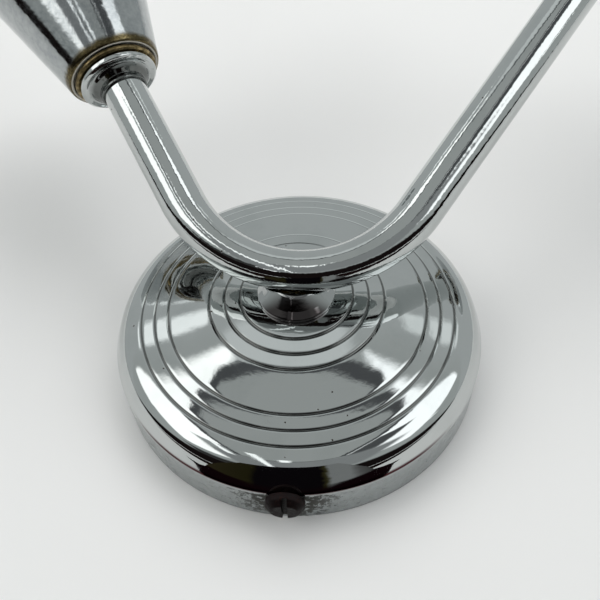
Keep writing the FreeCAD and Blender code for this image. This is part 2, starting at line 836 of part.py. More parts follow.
def make_cone(side, name):
    """Spun cone with its foot rolled in, a floor to clamp it by and a beaded mouth."""
    foot, low, top, wall = (
        size.cone_foot_radius, size.cone_foot_height, size.cone_length, size.cone_wall)
    lip, lip_height = size.cone_lip_radius, size.cone_lip_height
    floor_low = size.ferrule_height
    floor_high = floor_low + size.cone_floor
    bore = size.nipple_radius + size.thread_clearance
    bead = size.cone_bead
    body = turned_body(name + "_body", [
        (lip, lip_height), (foot - 0.5, lip_height), (foot, low),
        (cone_radius(top - bead * 2), top - bead * 2), (cone_radius(top), top - bead),
        (cone_radius(top), top), (cone_radius(top) - wall, top),
        (cone_radius(floor_high) - wall, floor_high), (bore, floor_high), (bore, floor_low),
        (cone_radius(floor_low) - wall, floor_low), (foot - wall, low), (lip, lip_height + 0.9)])
    round_circles(body, name + "_foot", Size(0.8), [(foot - 0.5, lip_height)])
    return keep(body, name, end_frame(side))


def make_bush(side, name):
    """Bush brazed into the tube's end; its male thread carries the cone and the lampholder."""
    plug = size.tube_radius - size.tube_wall - size.thread_clearance
    top = size.ferrule_height
    body = turned_body(name + "_body", [
        (size.bush_bore_radius, top - size.bush_depth), (plug, top - size.bush_depth), (plug, top),
        (size.nipple_radius, top), (size.nipple_radius, size.bush_top),
        (size.bush_bore_radius, size.bush_top)])
    return keep(body, name, end_frame(side))


def make_cone_nut(side, name):
    base = up(size.ferrule_height + size.cone_floor)
    blank = hexagon(name + "_blank", size.cone_nut_across_corners, size.cone_nut_thickness, base)
    hole = cylinder(name + "_hole", size.nipple_radius + size.thread_clearance,
                    size.cone_nut_thickness, base)
    return keep(cut(name + "_cut", blank, [hole]), name, end_frame(side))


def make_holder_cap(side, name):
    """Brass cap of the lampholder: a threaded entry that opens out into a cup."""
    entry = size.nipple_radius + size.thread_clearance
    outside, wall, low = size.cap_radius, size.cap_wall, size.cap_bottom
    body = turned_body(name + "_body", [
        (entry, low), (entry + 2.2, low), (entry + 2.2, low + 2), (outside, low + 9), (outside, size.cap_top),
        (outside - wall, size.cap_top), (outside - wall, low + 9.4), (entry + 1.3, low + 2.9),
        (entry, low + 2.9)])
    return keep(body, name, end_frame(side))


def plunger_spots():
    return [Vector(side * size.plunger_offset.value, 0, 0) for side in (-1, 1)]


def make_insulator(side, name):
    """Moulded core of the lampholder, bored for the two sprung plungers."""
    bottom, top = size.insulator_bottom, size.insulator_top
    blank = cylinder(name + "_blank", size.insulator_radius, top - bottom, up(bottom))
    holes = []
    for number, spot in enumerate(plunger_spots()):
        wide = cylinder("%s_wide_%d" % (name, number), size.plunger_bore_radius,
                        top - bottom - 2.5, spot + up(bottom + 1.5))
        narrow = cylinder("%s_narrow_%d" % (name, number),
                          size.plunger_radius + size.running_clearance,
                          top - bottom, spot + up(bottom + 1.5))
        holes += [wide, narrow]
    return keep(cut(name + "_cut", blank, holes), name, end_frame(side))


def collar_top():
    """Height at which a plunger's collar stops against the shoulder in the insulator."""
    return size.insulator_top - 1.0


def make_plunger(side, number, name):
    """Brass contact pin with a rounded nose and a collar that keeps it in the insulator."""
    nose = size.insulator_top + size.plunger_reach
    shoulder = collar_top() - 0.05
    body = turned_body(name + "_body", [
        (0, shoulder - 1.5), (size.plunger_collar_radius, shoulder - 1.5),
        (size.plunger_collar_radius, shoulder), (size.plunger_radius, shoulder),
        (size.plunger_radius, nose), (0, nose)])
    round_circles(body, name + "_nose", Size(0.8), [(size.plunger_radius, nose)])
    frame = end_frame(side).multiply(Placement(plunger_spots()[number], Rotation()))
    return keep(body, name, frame)


def make_spring(side, number, name):
    """Coil spring between the insulator's floor and the plunger's collar."""
    wire = size.spring_wire_radius.value
    low = size.insulator_bottom.value + 1.5 + wire + 0.02
    high = collar_top().value - 0.05 - 1.5 - wire - 0.02
    helix = Part.makeHelix((high - low) / size.spring_turns.value, high - low, size.spring_radius.value)
    helix.translate(up(low))
    ring = Part.makeCircle(wire, Vector(size.spring_radius.value, 0, low), Y_AXIS)
    spring = doc.addObject("Part::Feature", name)
    spring.Shape = Part.Wire(helix.Edges).makePipeShell([Part.Wire([ring])], True, True)
    frame = end_frame(side).multiply(Placement(plunger_spots()[number], Rotation()))
    return keep(spring, name, frame)


def make_holder_barrel(side, name):
    """Bayonet barrel: a band threaded for the shade ring and two J-shaped slots from the mouth."""
    core = size.insulator_radius + size.thread_clearance
    skin = size.socket_radius + size.barrel_wall
    band = size.band_radius
    low, step, top = size.barrel_bottom, size.socket_bottom, size.barrel_top
    inside_cap = size.cap_radius - size.cap_wall - size.thread_clearance
    body = turned_body(name + "_body", [
        (core, low), (inside_cap, low), (inside_cap, size.cap_top + 0.4), (band, size.cap_top + 0.4),
        (band, size.band_top), (skin, size.band_top), (skin, top), (size.socket_radius, top),
        (size.socket_radius, step), (core, step)])
    half = size.bayonet_slot_width / 2
    slot_bottom = top - size.bayonet_slot_depth
    straight = sketch_on(body, "YZ_Plane", name + "_slot")
    draw_outline(straight, [(-half, slot_bottom), (half, slot_bottom), (half, top + 1), (-half, top + 1)])
    pocket(body, straight, name + "_slot_cut", band * 2 + 2, both=True)
    hook = sketch_on(body, "XZ_Plane", name + "_hook")
    draw_outline(hook, [
        (size.socket_radius - 0.5, slot_bottom), (band + 1, slot_bottom),
        (band + 1, slot_bottom + size.bayonet_slot_width),
        (size.socket_radius - 0.5, slot_bottom + size.bayonet_slot_width)])
    turn = body.newObject("PartDesign::Groove", name + "_hook_cut")
    turn.Profile = hook
    turn.ReferenceAxis = (hook, ["V_Axis"])
    bind(turn, Angle=size.bayonet_turn)
    before = body.Shape.Volume
    doc.recompute()
    pair = body.newObject("PartDesign::PolarPattern", name + "_hook_pair")
    pair.Originals = [turn]
    pair.Axis = (hook, ["V_Axis"])
    pair.Angle = 360
    pair.Occurrences = 2
    body.Tip = pair
    doc.recompute()
    if body.Shape.Volume > before - 1:
        raise ValueError("%s has no hooks" % name)
    return keep(body, name, end_frame(side))


def make_shade_ring(side, name):
    """Ring on the barrel's threaded band, its edge notched all round for the fingers."""
    bore = size.band_radius + size.thread_clearance
    low = size.ring_bottom
    high = low + size.ring_thickness
    body = turned_body(name + "_body", [
        (bore, low), (size.ring_radius, low), (size.ring_radius, high - 2),
        (bore + 1.5, high - 2), (bore + 1.5, high), (bore, high)])
    sketch = sketch_on(body, "XY_Plane", name + "_notch")
    draw_circle(sketch, size.ring_radius + 0.4, 0, 0.9)
    notch = pocket(body, sketch, name + "_notch_cut", reverse=True)
    around = body.newObject("PartDesign::PolarPattern", name + "_notches")
    around.Originals = [notch]
    around.Axis = (sketch, ["N_Axis"])
    around.Angle = 360
    around.Occurrences = 24
    body.Tip = around
    doc.recompute()
    return keep(body, name, end_frame(side))


def make_arm_end(side, word):
    make_ferrule(side, word + "_ferrule")
    make_seat_washer(side, word + "_seat_washer")
    make_cone(side, word + "_cone")
    make_bush(side, word + "_end_bush")
    make_cone_nut(side, word + "_cone_nut")
    make_holder_cap(side, word + "_holder_cap")
    make_insulator(side, word + "_holder_insulator")
    make_holder_barrel(side, word + "_holder_barrel")
    make_shade_ring(side, word + "_shade_ring")
    for number, letter in enumerate("ab"):
        make_plunger(side, number, "%s_plunger_%s" % (word, letter))
        make_spring(side, number, "%s_plunger_spring_%s" % (word, letter))
    make_flex(side, word + "_flex")


# --- assembly, checks and export -----------------------------------------------------------------

make_backplate()
make_stiffener()
make_nipple_washer()
make_nipple_nut()
make_nipple()
make_boss()
make_strap()
make_side_screw()
make_peg()
make_terminal_block()
make_terminal_tubes()
make_terminal_screws()
make_block_screw()
make_earth_screw()
make_earth_washer()
make_arm_tube()
make_arm_end(-1, "left")
make_arm_end(1, "right")
doc.recompute()

for item in doc.Objects:
    if "Invalid" in item.State or "Error" in item.State:
        raise RuntimeError("%s did not recompute: %s" % (item.Name, item.State))
os.makedirs("parts", exist_ok=True)
for item in nodes:
    if item.Shape.isNull() or not item.Shape.isValid():
        raise RuntimeError("%s has no valid shape" % item.Label)
for item in nodes:
    item.Shape.exportStep("parts/%s.step" % item.Label)
print("%d sub-parts" % len(nodes))
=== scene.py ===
import json
import math

import bmesh
import bpy
from mathutils import Matrix, Vector


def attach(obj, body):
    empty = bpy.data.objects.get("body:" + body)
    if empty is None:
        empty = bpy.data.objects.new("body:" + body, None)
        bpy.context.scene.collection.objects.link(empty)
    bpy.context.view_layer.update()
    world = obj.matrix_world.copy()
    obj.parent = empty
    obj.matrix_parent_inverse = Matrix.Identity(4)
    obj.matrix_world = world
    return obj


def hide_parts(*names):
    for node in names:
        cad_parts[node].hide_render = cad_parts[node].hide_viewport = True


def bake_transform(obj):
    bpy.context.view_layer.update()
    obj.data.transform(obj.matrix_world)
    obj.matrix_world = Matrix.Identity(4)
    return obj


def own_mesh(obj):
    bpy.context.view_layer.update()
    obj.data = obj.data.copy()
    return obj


# The looks of a chromed two-arm wall light. Everything is in metres in the CAD model's frame:
# the wall is the plane Y = 0, the light stands out of it towards -Y, and +Z is up the wall.
# The plated pieces, the springs and the flexes are made again here as fine meshes, because mirror
# plating shows every facet. The other pieces behind the plate and in the lampholders keep their
# CAD meshes and get a finish.

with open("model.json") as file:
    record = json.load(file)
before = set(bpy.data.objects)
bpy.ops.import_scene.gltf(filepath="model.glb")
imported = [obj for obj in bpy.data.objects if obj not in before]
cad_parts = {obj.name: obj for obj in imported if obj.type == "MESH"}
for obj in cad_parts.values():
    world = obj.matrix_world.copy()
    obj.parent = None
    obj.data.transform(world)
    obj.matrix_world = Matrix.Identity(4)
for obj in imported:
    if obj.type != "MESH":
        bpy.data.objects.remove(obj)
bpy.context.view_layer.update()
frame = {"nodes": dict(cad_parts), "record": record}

MM = 0.001
CLEARANCE = 0.05 * MM

# --- sizes that these pieces share with the CAD model ---------------------------------------------

PLATE_RADIUS = 54 * MM
PLATE_WALL = 1.0 * MM
SKIRT_HEIGHT = 12.8 * MM
SKIRT_LEAN = 0.2 * MM
SHOULDER_LEAN = 3.0 * MM
SHOULDER_HEIGHT = 20.2 * MM
SHOULDER_ROUND = 8.0 * MM
CREASE_ROUND = 0.25 * MM
# Shares of the wall by which the inside's crease is lower and its shoulder lies further out.
INNER_CREASE_DROP = 0.2
INNER_SHOULDER_SHIFT = 0.33
OUTER_TIERS = [(44.8 * MM, 21.3 * MM), (40.8 * MM, 22.2 * MM), (36.8 * MM, 23.1 * MM)]
INNER_TIERS = [(24.8 * MM, 25.4 * MM), (20.35 * MM, 26.2 * MM), (15.9 * MM, 27.0 * MM)]
TIER_STEP = 0.35 * MM
TIER_ROUND = 0.25 * MM
GROOVE_WIDTH = 0.8 * MM
GROOVE_DEPTH = 0.3 * MM
GROOVE_LIP_ROUND = 0.35 * MM
GROOVE_FOOT_ROUND = 0.2 * MM
NIPPLE_HOLE = 5.08 * MM

TUBE_RADIUS = 6.35 * MM
TUBE_HEIGHT = 36.1 * MM
BEND_RADIUS = 39 * MM
BEND_FLATTENING = 0.09
ARM_HALF_ANGLE = math.radians(32)
ARM_TILT = math.radians(30)
ARM_TURN = math.radians(2)
ARM_LENGTH = {-1: 42 * MM, 1: 92 * MM}
WORD = {-1: "left", 1: "right"}

BOSS_RADIUS = 11 * MM
BOSS_TOP = 33 * MM

FERRULE_BORE = 6.4 * MM
FERRULE_RADIUS = 11.5 * MM
FERRULE_NECK_RADIUS = 7.0 * MM
FERRULE_NECK_LENGTH = 3.8 * MM
FERRULE_FLANGE = 1.5 * MM
FERRULE_SPIGOT_RADIUS = 9.1 * MM
FERRULE_HEIGHT = 6 * MM
SEAT_WASHER_RADIUS = 12.4 * MM
SEAT_WASHER_LOW = 1.55 * MM
SEAT_WASHER_HIGH = 2.85 * MM

CONE_LIP_RADIUS = 12.6 * MM
CONE_LIP_HEIGHT = 3.0 * MM
CONE_FOOT_RADIUS = 14.2 * MM
CONE_FOOT_HEIGHT = 4.6 * MM
CONE_MOUTH_RADIUS = 37 * MM
CONE_LENGTH = 90 * MM
CONE_WALL = 1.0 * MM
CONE_FLOOR = 1.2 * MM
CONE_BORE = 5.05 * MM

SCREW_HEIGHT = 10 * MM
SCREW_HEAD_RADIUS = 5.1 * MM
SCREW_HEAD_HEIGHT = 3.2 * MM
SCREW_SHANK_RADIUS = 2.0 * MM
SCREW_SHANK_LENGTH = 11 * MM
SCREW_SLOT_WIDTH = 1.4 * MM
SCREW_SLOT_DEPTH = 1.6 * MM

SPRING_FLOOR = 23.0 * MM
SPRING_TOP = 29.4 * MM
SPRING_RADIUS = 1.5 * MM
SPRING_WIRE = 0.22 * MM
SPRING_TURNS = 6
SPRING_TURN_STEPS = 24
PLUNGER_OFFSET = 5.25 * MM

FLEX_RADIUS = 1.6 * MM
FLEX_TWIST = 13 * MM
FLEX_OFFSET = 1.9 * MM
CORE_SLACK = 0.02 * MM
POLE_LEVEL = 8 * MM
POLE_PITCH = 8 * MM
BLOCK_FACE = -16 * MM
BLOCK_EXIT = 9 * MM
NIPPLE_ENTRY = 4 * MM
INSULATOR_BOTTOM = 21.5 * MM
INSULATOR_GAP = 0.5 * MM

# --- frames ----------------------------------------------------------------------------------------

# Z out of the wall, from the middle of the canopy.
PLATE_FRAME = Matrix.Rotation(math.radians(90), 4, "X")
# X right, Y up the middle of the V, Z square to the V, from the bend's lowest point.
ARM_FRAME = (
    PLATE_FRAME
    @ Matrix.Translation((0, 0, TUBE_HEIGHT))
    @ Matrix.Rotation(-ARM_TURN, 4, "Z")
    @ Matrix.Rotation(ARM_TILT, 4, "X")
)


def arm_direction(side):
    return Vector((side * math.sin(ARM_HALF_ANGLE), math.cos(ARM_HALF_ANGLE), 0))


def bend_end(side):
    across = side * BEND_RADIUS * math.cos(ARM_HALF_ANGLE)
    return Vector((across, BEND_RADIUS * (1 - math.sin(ARM_HALF_ANGLE)), 0))


def end_frame(side):
    """Z along the arm away from the plate, from the lower edge of the ferrule."""
    origin = bend_end(side) + arm_direction(side) * ARM_LENGTH[side]
    return (
        ARM_FRAME
        @ Matrix.Translation(origin)
        @ Matrix.Rotation(-side * ARM_HALF_ANGLE, 4, "Z")
        @ Matrix.Rotation(math.radians(-90), 4, "X")
    )


# --- meshes ----------------------------------------------------------------------------------------


def linked(name, data):
    """A new object in the scene."""
    thing = bpy.data.objects.new(name, data)
    bpy.context.scene.collection.objects.link(thing)
    return thing


def applied(thing):
    """The mesh that an object shows, with its modifiers or its curve's settings applied."""
    bpy.context.view_layer.update()
    shown = thing.evaluated_get(bpy.context.evaluated_depsgraph_get())
    return bpy.data.meshes.new_from_object(shown)


def new_piece(name, mesh, body, material, nodes):
    """Links a finished mesh as a piece of the light; one with no body is left without a parent."""
    piece = linked(name, mesh)
    mesh.materials.append(material)
    if body:
        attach(piece, body)
    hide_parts(*nodes)
    return piece


def mesh_from(name, points, faces):
    mesh = bpy.data.meshes.new(name)
    mesh.from_pydata([tuple(point) for point in points], [], faces)
    mesh.polygons.foreach_set("use_smooth", [True] * len(mesh.polygons))
    mesh.update()
    return mesh


def closed_mesh(name, points, faces, place):
    """A solid's mesh put in its place, with all its faces turned outwards."""
    mesh = mesh_from(name, points, faces)
    mesh.transform(place)
    work = bmesh.new()
    work.from_mesh(mesh)
    bmesh.ops.recalc_face_normals(work, faces=work.faces)
    work.to_mesh(mesh)
    work.free()
    return mesh


def bar_faces(first, rings, sides):
    """Faces of a closed-ended bar drawn as rings of points, from its first point's number."""
    faces = []
    for ring in range(rings - 1):
        low = first + ring * sides
        for side in range(sides):
            ahead = (side + 1) % sides
            faces.append([low + side, low + ahead, low + sides + ahead, low + sides + side])
    faces.append([first + side for side in range(sides)][::-1])
    faces.append([first + (rings - 1) * sides + side for side in range(sides)])
    return faces


def rounded(corners, arc_steps=7):
    """Outline through corners (radius, height, rounding), each rounding drawn as a tangent arc."""
    outline = []
    count = len(corners)
    for index, (across, up, rounding) in enumerate(corners):
        corner = Vector((across, up))
        back = Vector(corners[index - 1][:2]) - corner
        onward = Vector(corners[(index + 1) % count][:2]) - corner
        if rounding == 0 or back.length == 0 or onward.length == 0:
            outline.append(corner)
            continue
        back.normalize()
        onward.normalize()
        half = back.angle(onward) / 2
        reach = rounding / math.tan(half)
        centre = corner + (back + onward).normalized() * (rounding / math.sin(half))
        start = corner + back * reach - centre
        end = corner + onward * reach - centre
        turn = start.angle_signed(end)
        for step in range(arc_steps + 1):
            spoke = start.copy()
            spoke.rotate(Matrix.Rotation(-turn * step / arc_steps, 2))
            outline.append(centre + spoke)
    return outline


def refined(outline, longest):
    """Splits the outline's long runs, so that smooth shading stays even along them."""
    points = []
    for index, here in enumerate(outline):
        following = outline[(index + 1) % len(outline)]
        parts = max(1, math.ceil((following - here).length / longest))
        points += [here.lerp(following, part / parts) for part in range(parts)]
    return points


def lathe(name, outline, place, segments=160):
    """Turns a closed outline of (radius, height) about Z; points on the axis share one vertex."""
    points, rings = [], []
    for point in outline:
        if point.x < 1e-7:
            rings.append([len(points)] * segments)
            points.append((0, 0, point.y))
            continue
        rings.append([len(points) + step for step in range(segments)])
        for step in range(segments):
            angle = 2 * math.pi * step / segments
            points.append((point.x * math.cos(angle), point.x * math.sin(angle), point.y))
    faces = []
    for index, ring in enumerate(rings):
        following = rings[(index + 1) % len(rings)]
        for step in range(segments):
            ahead = (step + 1) % segments
            corners = [ring[step], ring[ahead], following[ahead], following[step]]
            face = list(dict.fromkeys(corners))
            if len(face) > 2:
                faces.append(face)
    return closed_mesh(name, points, faces, place)


def swept(name, path, sections, place, sides=64):
    """Sweeps a closed-ended bar along a flat path; each section is its two half widths there."""
    points = []
    third = Vector((0, 0, 1))
    for index, (here, (wide, deep)) in enumerate(zip(path, sections)):
        before = path[max(index - 1, 0)]
        after = path[min(index + 1, len(path) - 1)]
        along = (after - before).normalized()
        across = third.cross(along).normalized()
        third = along.cross(across).normalized()
        for side in range(sides):
            angle = 2 * math.pi * side / sides
            points.append(here + across * wide * math.cos(angle) + third * deep * math.sin(angle))
    return closed_mesh(name, points, bar_faces(0, len(path), sides), place)


# --- the outlines of the turned pieces ----------------------------------------------------------


def plate_face(inset, grooved):
    """Corners of the plate's face from the skirt's foot to the middle, moved in by the inset."""
    radius = PLATE_RADIUS - inset
    tier_round = TIER_ROUND if grooved else 0
    foot_round = GROOVE_FOOT_ROUND if grooved else 0
    before = radius - SKIRT_LEAN - SHOULDER_LEAN + inset * INNER_SHOULDER_SHIFT
    before_height = SHOULDER_HEIGHT - inset
    corners = [
        (radius, 0, 0),
        (radius - SKIRT_LEAN, SKIRT_HEIGHT - inset * INNER_CREASE_DROP, CREASE_ROUND),
        (before, before_height, SHOULDER_ROUND - inset)]
    for tier_radius, tier_height in OUTER_TIERS + INNER_TIERS:
        here, top = tier_radius - inset, tier_height - inset
        foot = top - TIER_STEP
        if grooved:
            share = GROOVE_WIDTH / (before - here)
            lip = foot - (foot - before_height) * share
            corners.append((here + GROOVE_WIDTH, lip, GROOVE_LIP_ROUND))
            foot -= GROOVE_DEPTH
        corners.append((here, foot, foot_round))
        corners.append((here, top, tier_round))
        before, before_height = here, top
    corners.append((NIPPLE_HOLE, tiers_top() - inset, 0))
    return corners


def tiers_top():
    return INNER_TIERS[-1][1]


def make_backplate(material):
    corners = plate_face(0, True) + plate_face(PLATE_WALL, False)[::-1]
    outline = refined(rounded(corners), 0.8 * MM)
    mesh = lathe("canopy", outline, PLATE_FRAME, segments=256)
    new_piece("canopy", mesh, "fixture", material, ["backplate"])


def make_boss(material):
    """Low dome whose top is pressed to the underside of the tube."""
    foot = tiers_top() + CLEARANCE
    corners = [
        (NIPPLE_HOLE, foot, 0), (BOSS_RADIUS, foot, 0.2 * MM), (BOSS_RADIUS, foot + 1.0 * MM, 0.5 * MM),
        (BOSS_RADIUS * 0.86, foot + 2.6 * MM, 1.6 * MM), (BOSS_RADIUS * 0.62, BOSS_TOP, 1.0 * MM),
        (NIPPLE_HOLE, BOSS_TOP, 0)]
    outline = refined(rounded(corners), 0.3 * MM)
    mesh = lathe("boss", outline, Matrix.Identity(4), segments=128)
    for vertex in mesh.vertices:
        height = tube_underside(vertex.co.x, vertex.co.y, TUBE_RADIUS + CLEARANCE)
        vertex.co.z = min(vertex.co.z, max(height, foot))
    mesh.transform(PLATE_FRAME)
    new_piece("boss", mesh, "arm", material, ["centre_boss"])


def tube_underside(across, up, radius):
    """Height above the wall of the tube's underside over a spot of the plate, or 1 m beside it."""
    along = across * math.cos(ARM_TURN) - up * math.sin(ARM_TURN)
    off = across * math.sin(ARM_TURN) + up * math.cos(ARM_TURN)
    rise = BEND_RADIUS - math.sqrt(BEND_RADIUS ** 2 - along ** 2)
    centre_off = rise * math.cos(ARM_TILT)
    centre_height = TUBE_HEIGHT + rise * math.sin(ARM_TILT)
    gap = abs(off - centre_off)
    if gap >= radius:
        return 1.0
    return centre_height - math.sqrt(radius ** 2 - gap ** 2)


def make_ferrule(side, material):
    """Stepped neck round the tube, a dished face with a rounded rim, and a spigot for the cone."""
    bore, neck, rim, spigot = FERRULE_BORE, FERRULE_NECK_RADIUS, FERRULE_RADIUS, FERRULE_SPIGOT_RADIUS
    low, back, top = -FERRULE_NECK_LENGTH, FERRULE_FLANGE, FERRULE_HEIGHT
    corners = [
        (bore, low, 0.1 * MM), (neck, low, 0.3 * MM), (neck, -2.0 * MM, 0.2 * MM),
        (neck + 1.3 * MM, -1.2 * MM, 0.4 * MM), (neck + 2.2 * MM, 0, 0.8 * MM),
        (rim - 0.8 * MM, -0.6 * MM, 0.25 * MM), (rim, 0, 0.4 * MM), (rim, back - 0.4 * MM, 0.2 * MM),
        (rim - 0.9 * MM, back, 0.2 * MM), (spigot, back, 0), (spigot, top, 0.2 * MM), (bore, top, 0)]
    outline = refined(rounded(corners, 5), 0.4 * MM)
    name = WORD[side] + "_stepped_ferrule"
    mesh = lathe(name, outline, end_frame(side))
    new_piece(name, mesh, "arm", material, [WORD[side] + "_ferrule"])


def make_seat_washer(side, material):
    bore, rim = FERRULE_SPIGOT_RADIUS + CLEARANCE, SEAT_WASHER_RADIUS
    low, high = SEAT_WASHER_LOW, SEAT_WASHER_HIGH
    corners = [
        (bore, low, 0), (rim - 0.4 * MM, low, 0.2 * MM), (rim, low + 0.4 * MM, 0.3 * MM),
        (rim, high, 0.25 * MM), (bore, high, 0)]
    name = WORD[side] + "_brass_washer"
    mesh = lathe(name, refined(rounded(corners, 5), 0.4 * MM), end_frame(side), segments=128)
    new_piece(name, mesh, "arm", material, [WORD[side] + "_seat_washer"])


def cone_radius(height):
    """Outer radius of the cone's side, carried on below its foot too."""
    slope = (CONE_MOUTH_RADIUS - CONE_FOOT_RADIUS) / (CONE_LENGTH - CONE_FOOT_HEIGHT)
    return CONE_FOOT_RADIUS + slope * (height - CONE_FOOT_HEIGHT)


def make_cone(side, material):
    """Spun cone with a rolled-in foot, a flat floor on the ferrule and a rounded bead at its mouth."""
    foot, low, top, wall = CONE_FOOT_RADIUS, CONE_FOOT_HEIGHT, CONE_LENGTH, CONE_WALL
    lip, lip_height = CONE_LIP_RADIUS, CONE_LIP_HEIGHT
    floor_low, floor_high = FERRULE_HEIGHT, FERRULE_HEIGHT + CONE_FLOOR
    bead = 1.1 * MM
    corners = [
        (lip, lip_height, 0.3 * MM), (foot - 0.5 * MM, lip_height, 0.8 * MM), (foot, low, 2.0 * MM),
        (cone_radius(top - bead * 2), top - bead * 2, 0.3 * MM), (cone_radius(top), top - bead, 0.4 * MM),
        (cone_radius(top), top, 0.45 * MM), (cone_radius(top) - wall, top, 0.45 * MM),
        (cone_radius(floor_high) - wall, floor_high, 0.5 * MM), (CONE_BORE, floor_high, 0),
        (CONE_BORE, floor_low, 0), (cone_radius(floor_low) - wall, floor_low, 0.3 * MM),
        (foot - wall, low, 0.2 * MM), (lip, lip_height + 0.9 * MM, 0.3 * MM)]
    outline = refined(rounded(corners), 1.0 * MM)
    name = WORD[side] + "_spun_cone"
    mesh = lathe(name, outline, end_frame(side), segments=224)
    new_piece(name, mesh, "arm", material, [WORD[side] + "_cone"])


# --- tube, screw, springs and flexes --------------------------------------------------------------


def tube_path():
    """Centre line of the tube in the arm frame, left end to right end."""
    left_steps, bend_steps, right_steps = 24, 96, 36
    left_arm = arm_direction(-1) * (ARM_LENGTH[-1] + FERRULE_HEIGHT)
    right_arm = arm_direction(1) * (ARM_LENGTH[1] + FERRULE_HEIGHT)
    path = [bend_end(-1) + left_arm * (1 - step / left_steps) for step in range(left_steps)]
    start = math.pi + ARM_HALF_ANGLE
    sweep = math.pi - 2 * ARM_HALF_ANGLE
    centre = Vector((0, BEND_RADIUS, 0))
    for step in range(bend_steps + 1):
        angle = start + sweep * step / bend_steps
        path.append(centre + BEND_RADIUS * Vector((math.cos(angle), math.sin(angle), 0)))
    path += [bend_end(1) + right_arm * step / right_steps for step in range(1, right_steps + 1)]
    return path


def bend_shares(path):
    """How bent each point of the tube is: 0 on the straight arms, up to 1 in mid-bend."""
    sweep = math.pi / 2 - ARM_HALF_ANGLE
    shares = []
    for point in path:
        angle = abs(math.atan2(point.x, BEND_RADIUS - point.y))
        shares.append(max(0.0, math.cos(min(angle / sweep, 1.0) * math.pi / 2)))
    return shares


def make_tube(material):
    """Bent tube, a little flattened across the bend as drawn tube is when it is bent."""
    path = tube_path()
    sections = [(TUBE_RADIUS * (1 - BEND_FLATTENING * share), TUBE_RADIUS) for share in bend_shares(path)]
    mesh = swept("bent_tube", path, sections, ARM_FRAME)
    new_piece("bent_tube", mesh, "arm", material, ["arm_tube"])


def make_screw(material):
    """Slotted cheese-head screw in the skirt, its edges rounded by wear."""
    foot = -SCREW_SHANK_LENGTH
    corners = [
        (0, foot, 0), (SCREW_SHANK_RADIUS - 0.3 * MM, foot, 0),
        (SCREW_SHANK_RADIUS, foot + 0.4 * MM, 0), (SCREW_SHANK_RADIUS, 0, 0),
        (SCREW_HEAD_RADIUS, 0, 0.3 * MM), (SCREW_HEAD_RADIUS, SCREW_HEAD_HEIGHT * 0.55, 0.9 * MM),
        (SCREW_HEAD_RADIUS * 0.72, SCREW_HEAD_HEIGHT, 0.8 * MM), (0, SCREW_HEAD_HEIGHT, 0)]
    place = (
        PLATE_FRAME
        @ Matrix.Translation((0, -PLATE_RADIUS, SCREW_HEIGHT))
        @ Matrix.Rotation(math.radians(90), 4, "X")
        @ Matrix.Rotation(math.radians(90), 4, "Z")
    )
    mesh = lathe("skirt_screw", refined(rounded(corners), 0.4 * MM), Matrix.Identity(4), segments=96)
    screw = new_piece("skirt_screw", mesh, "fixture", material, ["side_fixing_screw"])
    cut_slot(screw)
    mesh.transform(place)


def cut_slot(screw):
    """Cuts the driver slot across the head with a boolean, applied at once."""
    work = bmesh.new()
    bmesh.ops.create_cube(work, size=1.0)
    size = Vector((SCREW_HEAD_RADIUS * 3, SCREW_SLOT_WIDTH, SCREW_SLOT_DEPTH * 2))
    bmesh.ops.scale(work, vec=size, verts=work.verts)
    bmesh.ops.translate(work, vec=(0, 0, SCREW_HEAD_HEIGHT), verts=work.verts)
    cutter_mesh = bpy.data.meshes.new("slot_cutter")
    work.to_mesh(cutter_mesh)
    work.free()
    cutter = linked("slot_cutter", cutter_mesh)
    modifier = screw.modifiers.new("slot", "BOOLEAN")
    modifier.object = cutter
    modifier.operation = "DIFFERENCE"
    modifier.solver = "EXACT"
    cut = applied(screw)
    screw.modifiers.clear()
    work = bmesh.new()
    work.from_mesh(cut)
    work.to_mesh(screw.data)
    work.free()
    bpy.data.meshes.remove(cut)
    bpy.data.objects.remove(cutter)
    bpy.data.meshes.remove(cutter_mesh)


def make_spring(side, way, letter, material):
    """Contact spring beside a lampholder's axis, a coil of wire."""
    steps = SPRING_TURN_STEPS * SPRING_TURNS
    low, high = SPRING_FLOOR + SPRING_WIRE, SPRING_TOP - SPRING_WIRE
    path = []
    for step in range(steps + 1):
        angle = 2 * math.pi * step / SPRING_TURN_STEPS
        height = low + (high - low) * step / steps
        path.append(Vector((SPRING_RADIUS * math.cos(angle), SPRING_RADIUS * math.sin(angle), height)))
    place = end_frame(side) @ Matrix.Translation((way * PLUNGER_OFFSET, 0, 0))
    name = "%s_contact_spring_%s" % (WORD[side], letter)
    mesh = wire_mesh(name, [path], SPRING_WIRE, place)
    node = "%s_plunger_spring_%s" % (WORD[side], letter)
    spring = new_piece(name, mesh, "arm", material, [node])
    end_frame(side).to_3x3() @ Vector((0, 0, 1))
    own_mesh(spring)


def carried_frames(path):
    """Each point of a path with two directions square to it, carried along without twisting."""
    across = (path[1] - path[0]).orthogonal().normalized()
    for index, here in enumerate(path):
        before = path[max(index - 1, 0)]
        after = path[min(index + 1, len(path) - 1)]
        along = (after - before).normalized()
        across = (across - along * across.dot(along)).normalized()
        yield here, across, along.cross(across)


def wire_mesh(name, paths, radius, place, sides=12):
    """Round wires along any paths, as one mesh."""
    points, faces = [], []
    for path in paths:
        first = len(points)
        for here, across, third in carried_frames(path):
            for side in range(sides):
                angle = 2 * math.pi * side / sides
                points.append(here + radius * (across * math.cos(angle) + third * math.sin(angle)))
        faces += bar_faces(first, len(path), sides)
    return closed_mesh(name, points, faces, place)


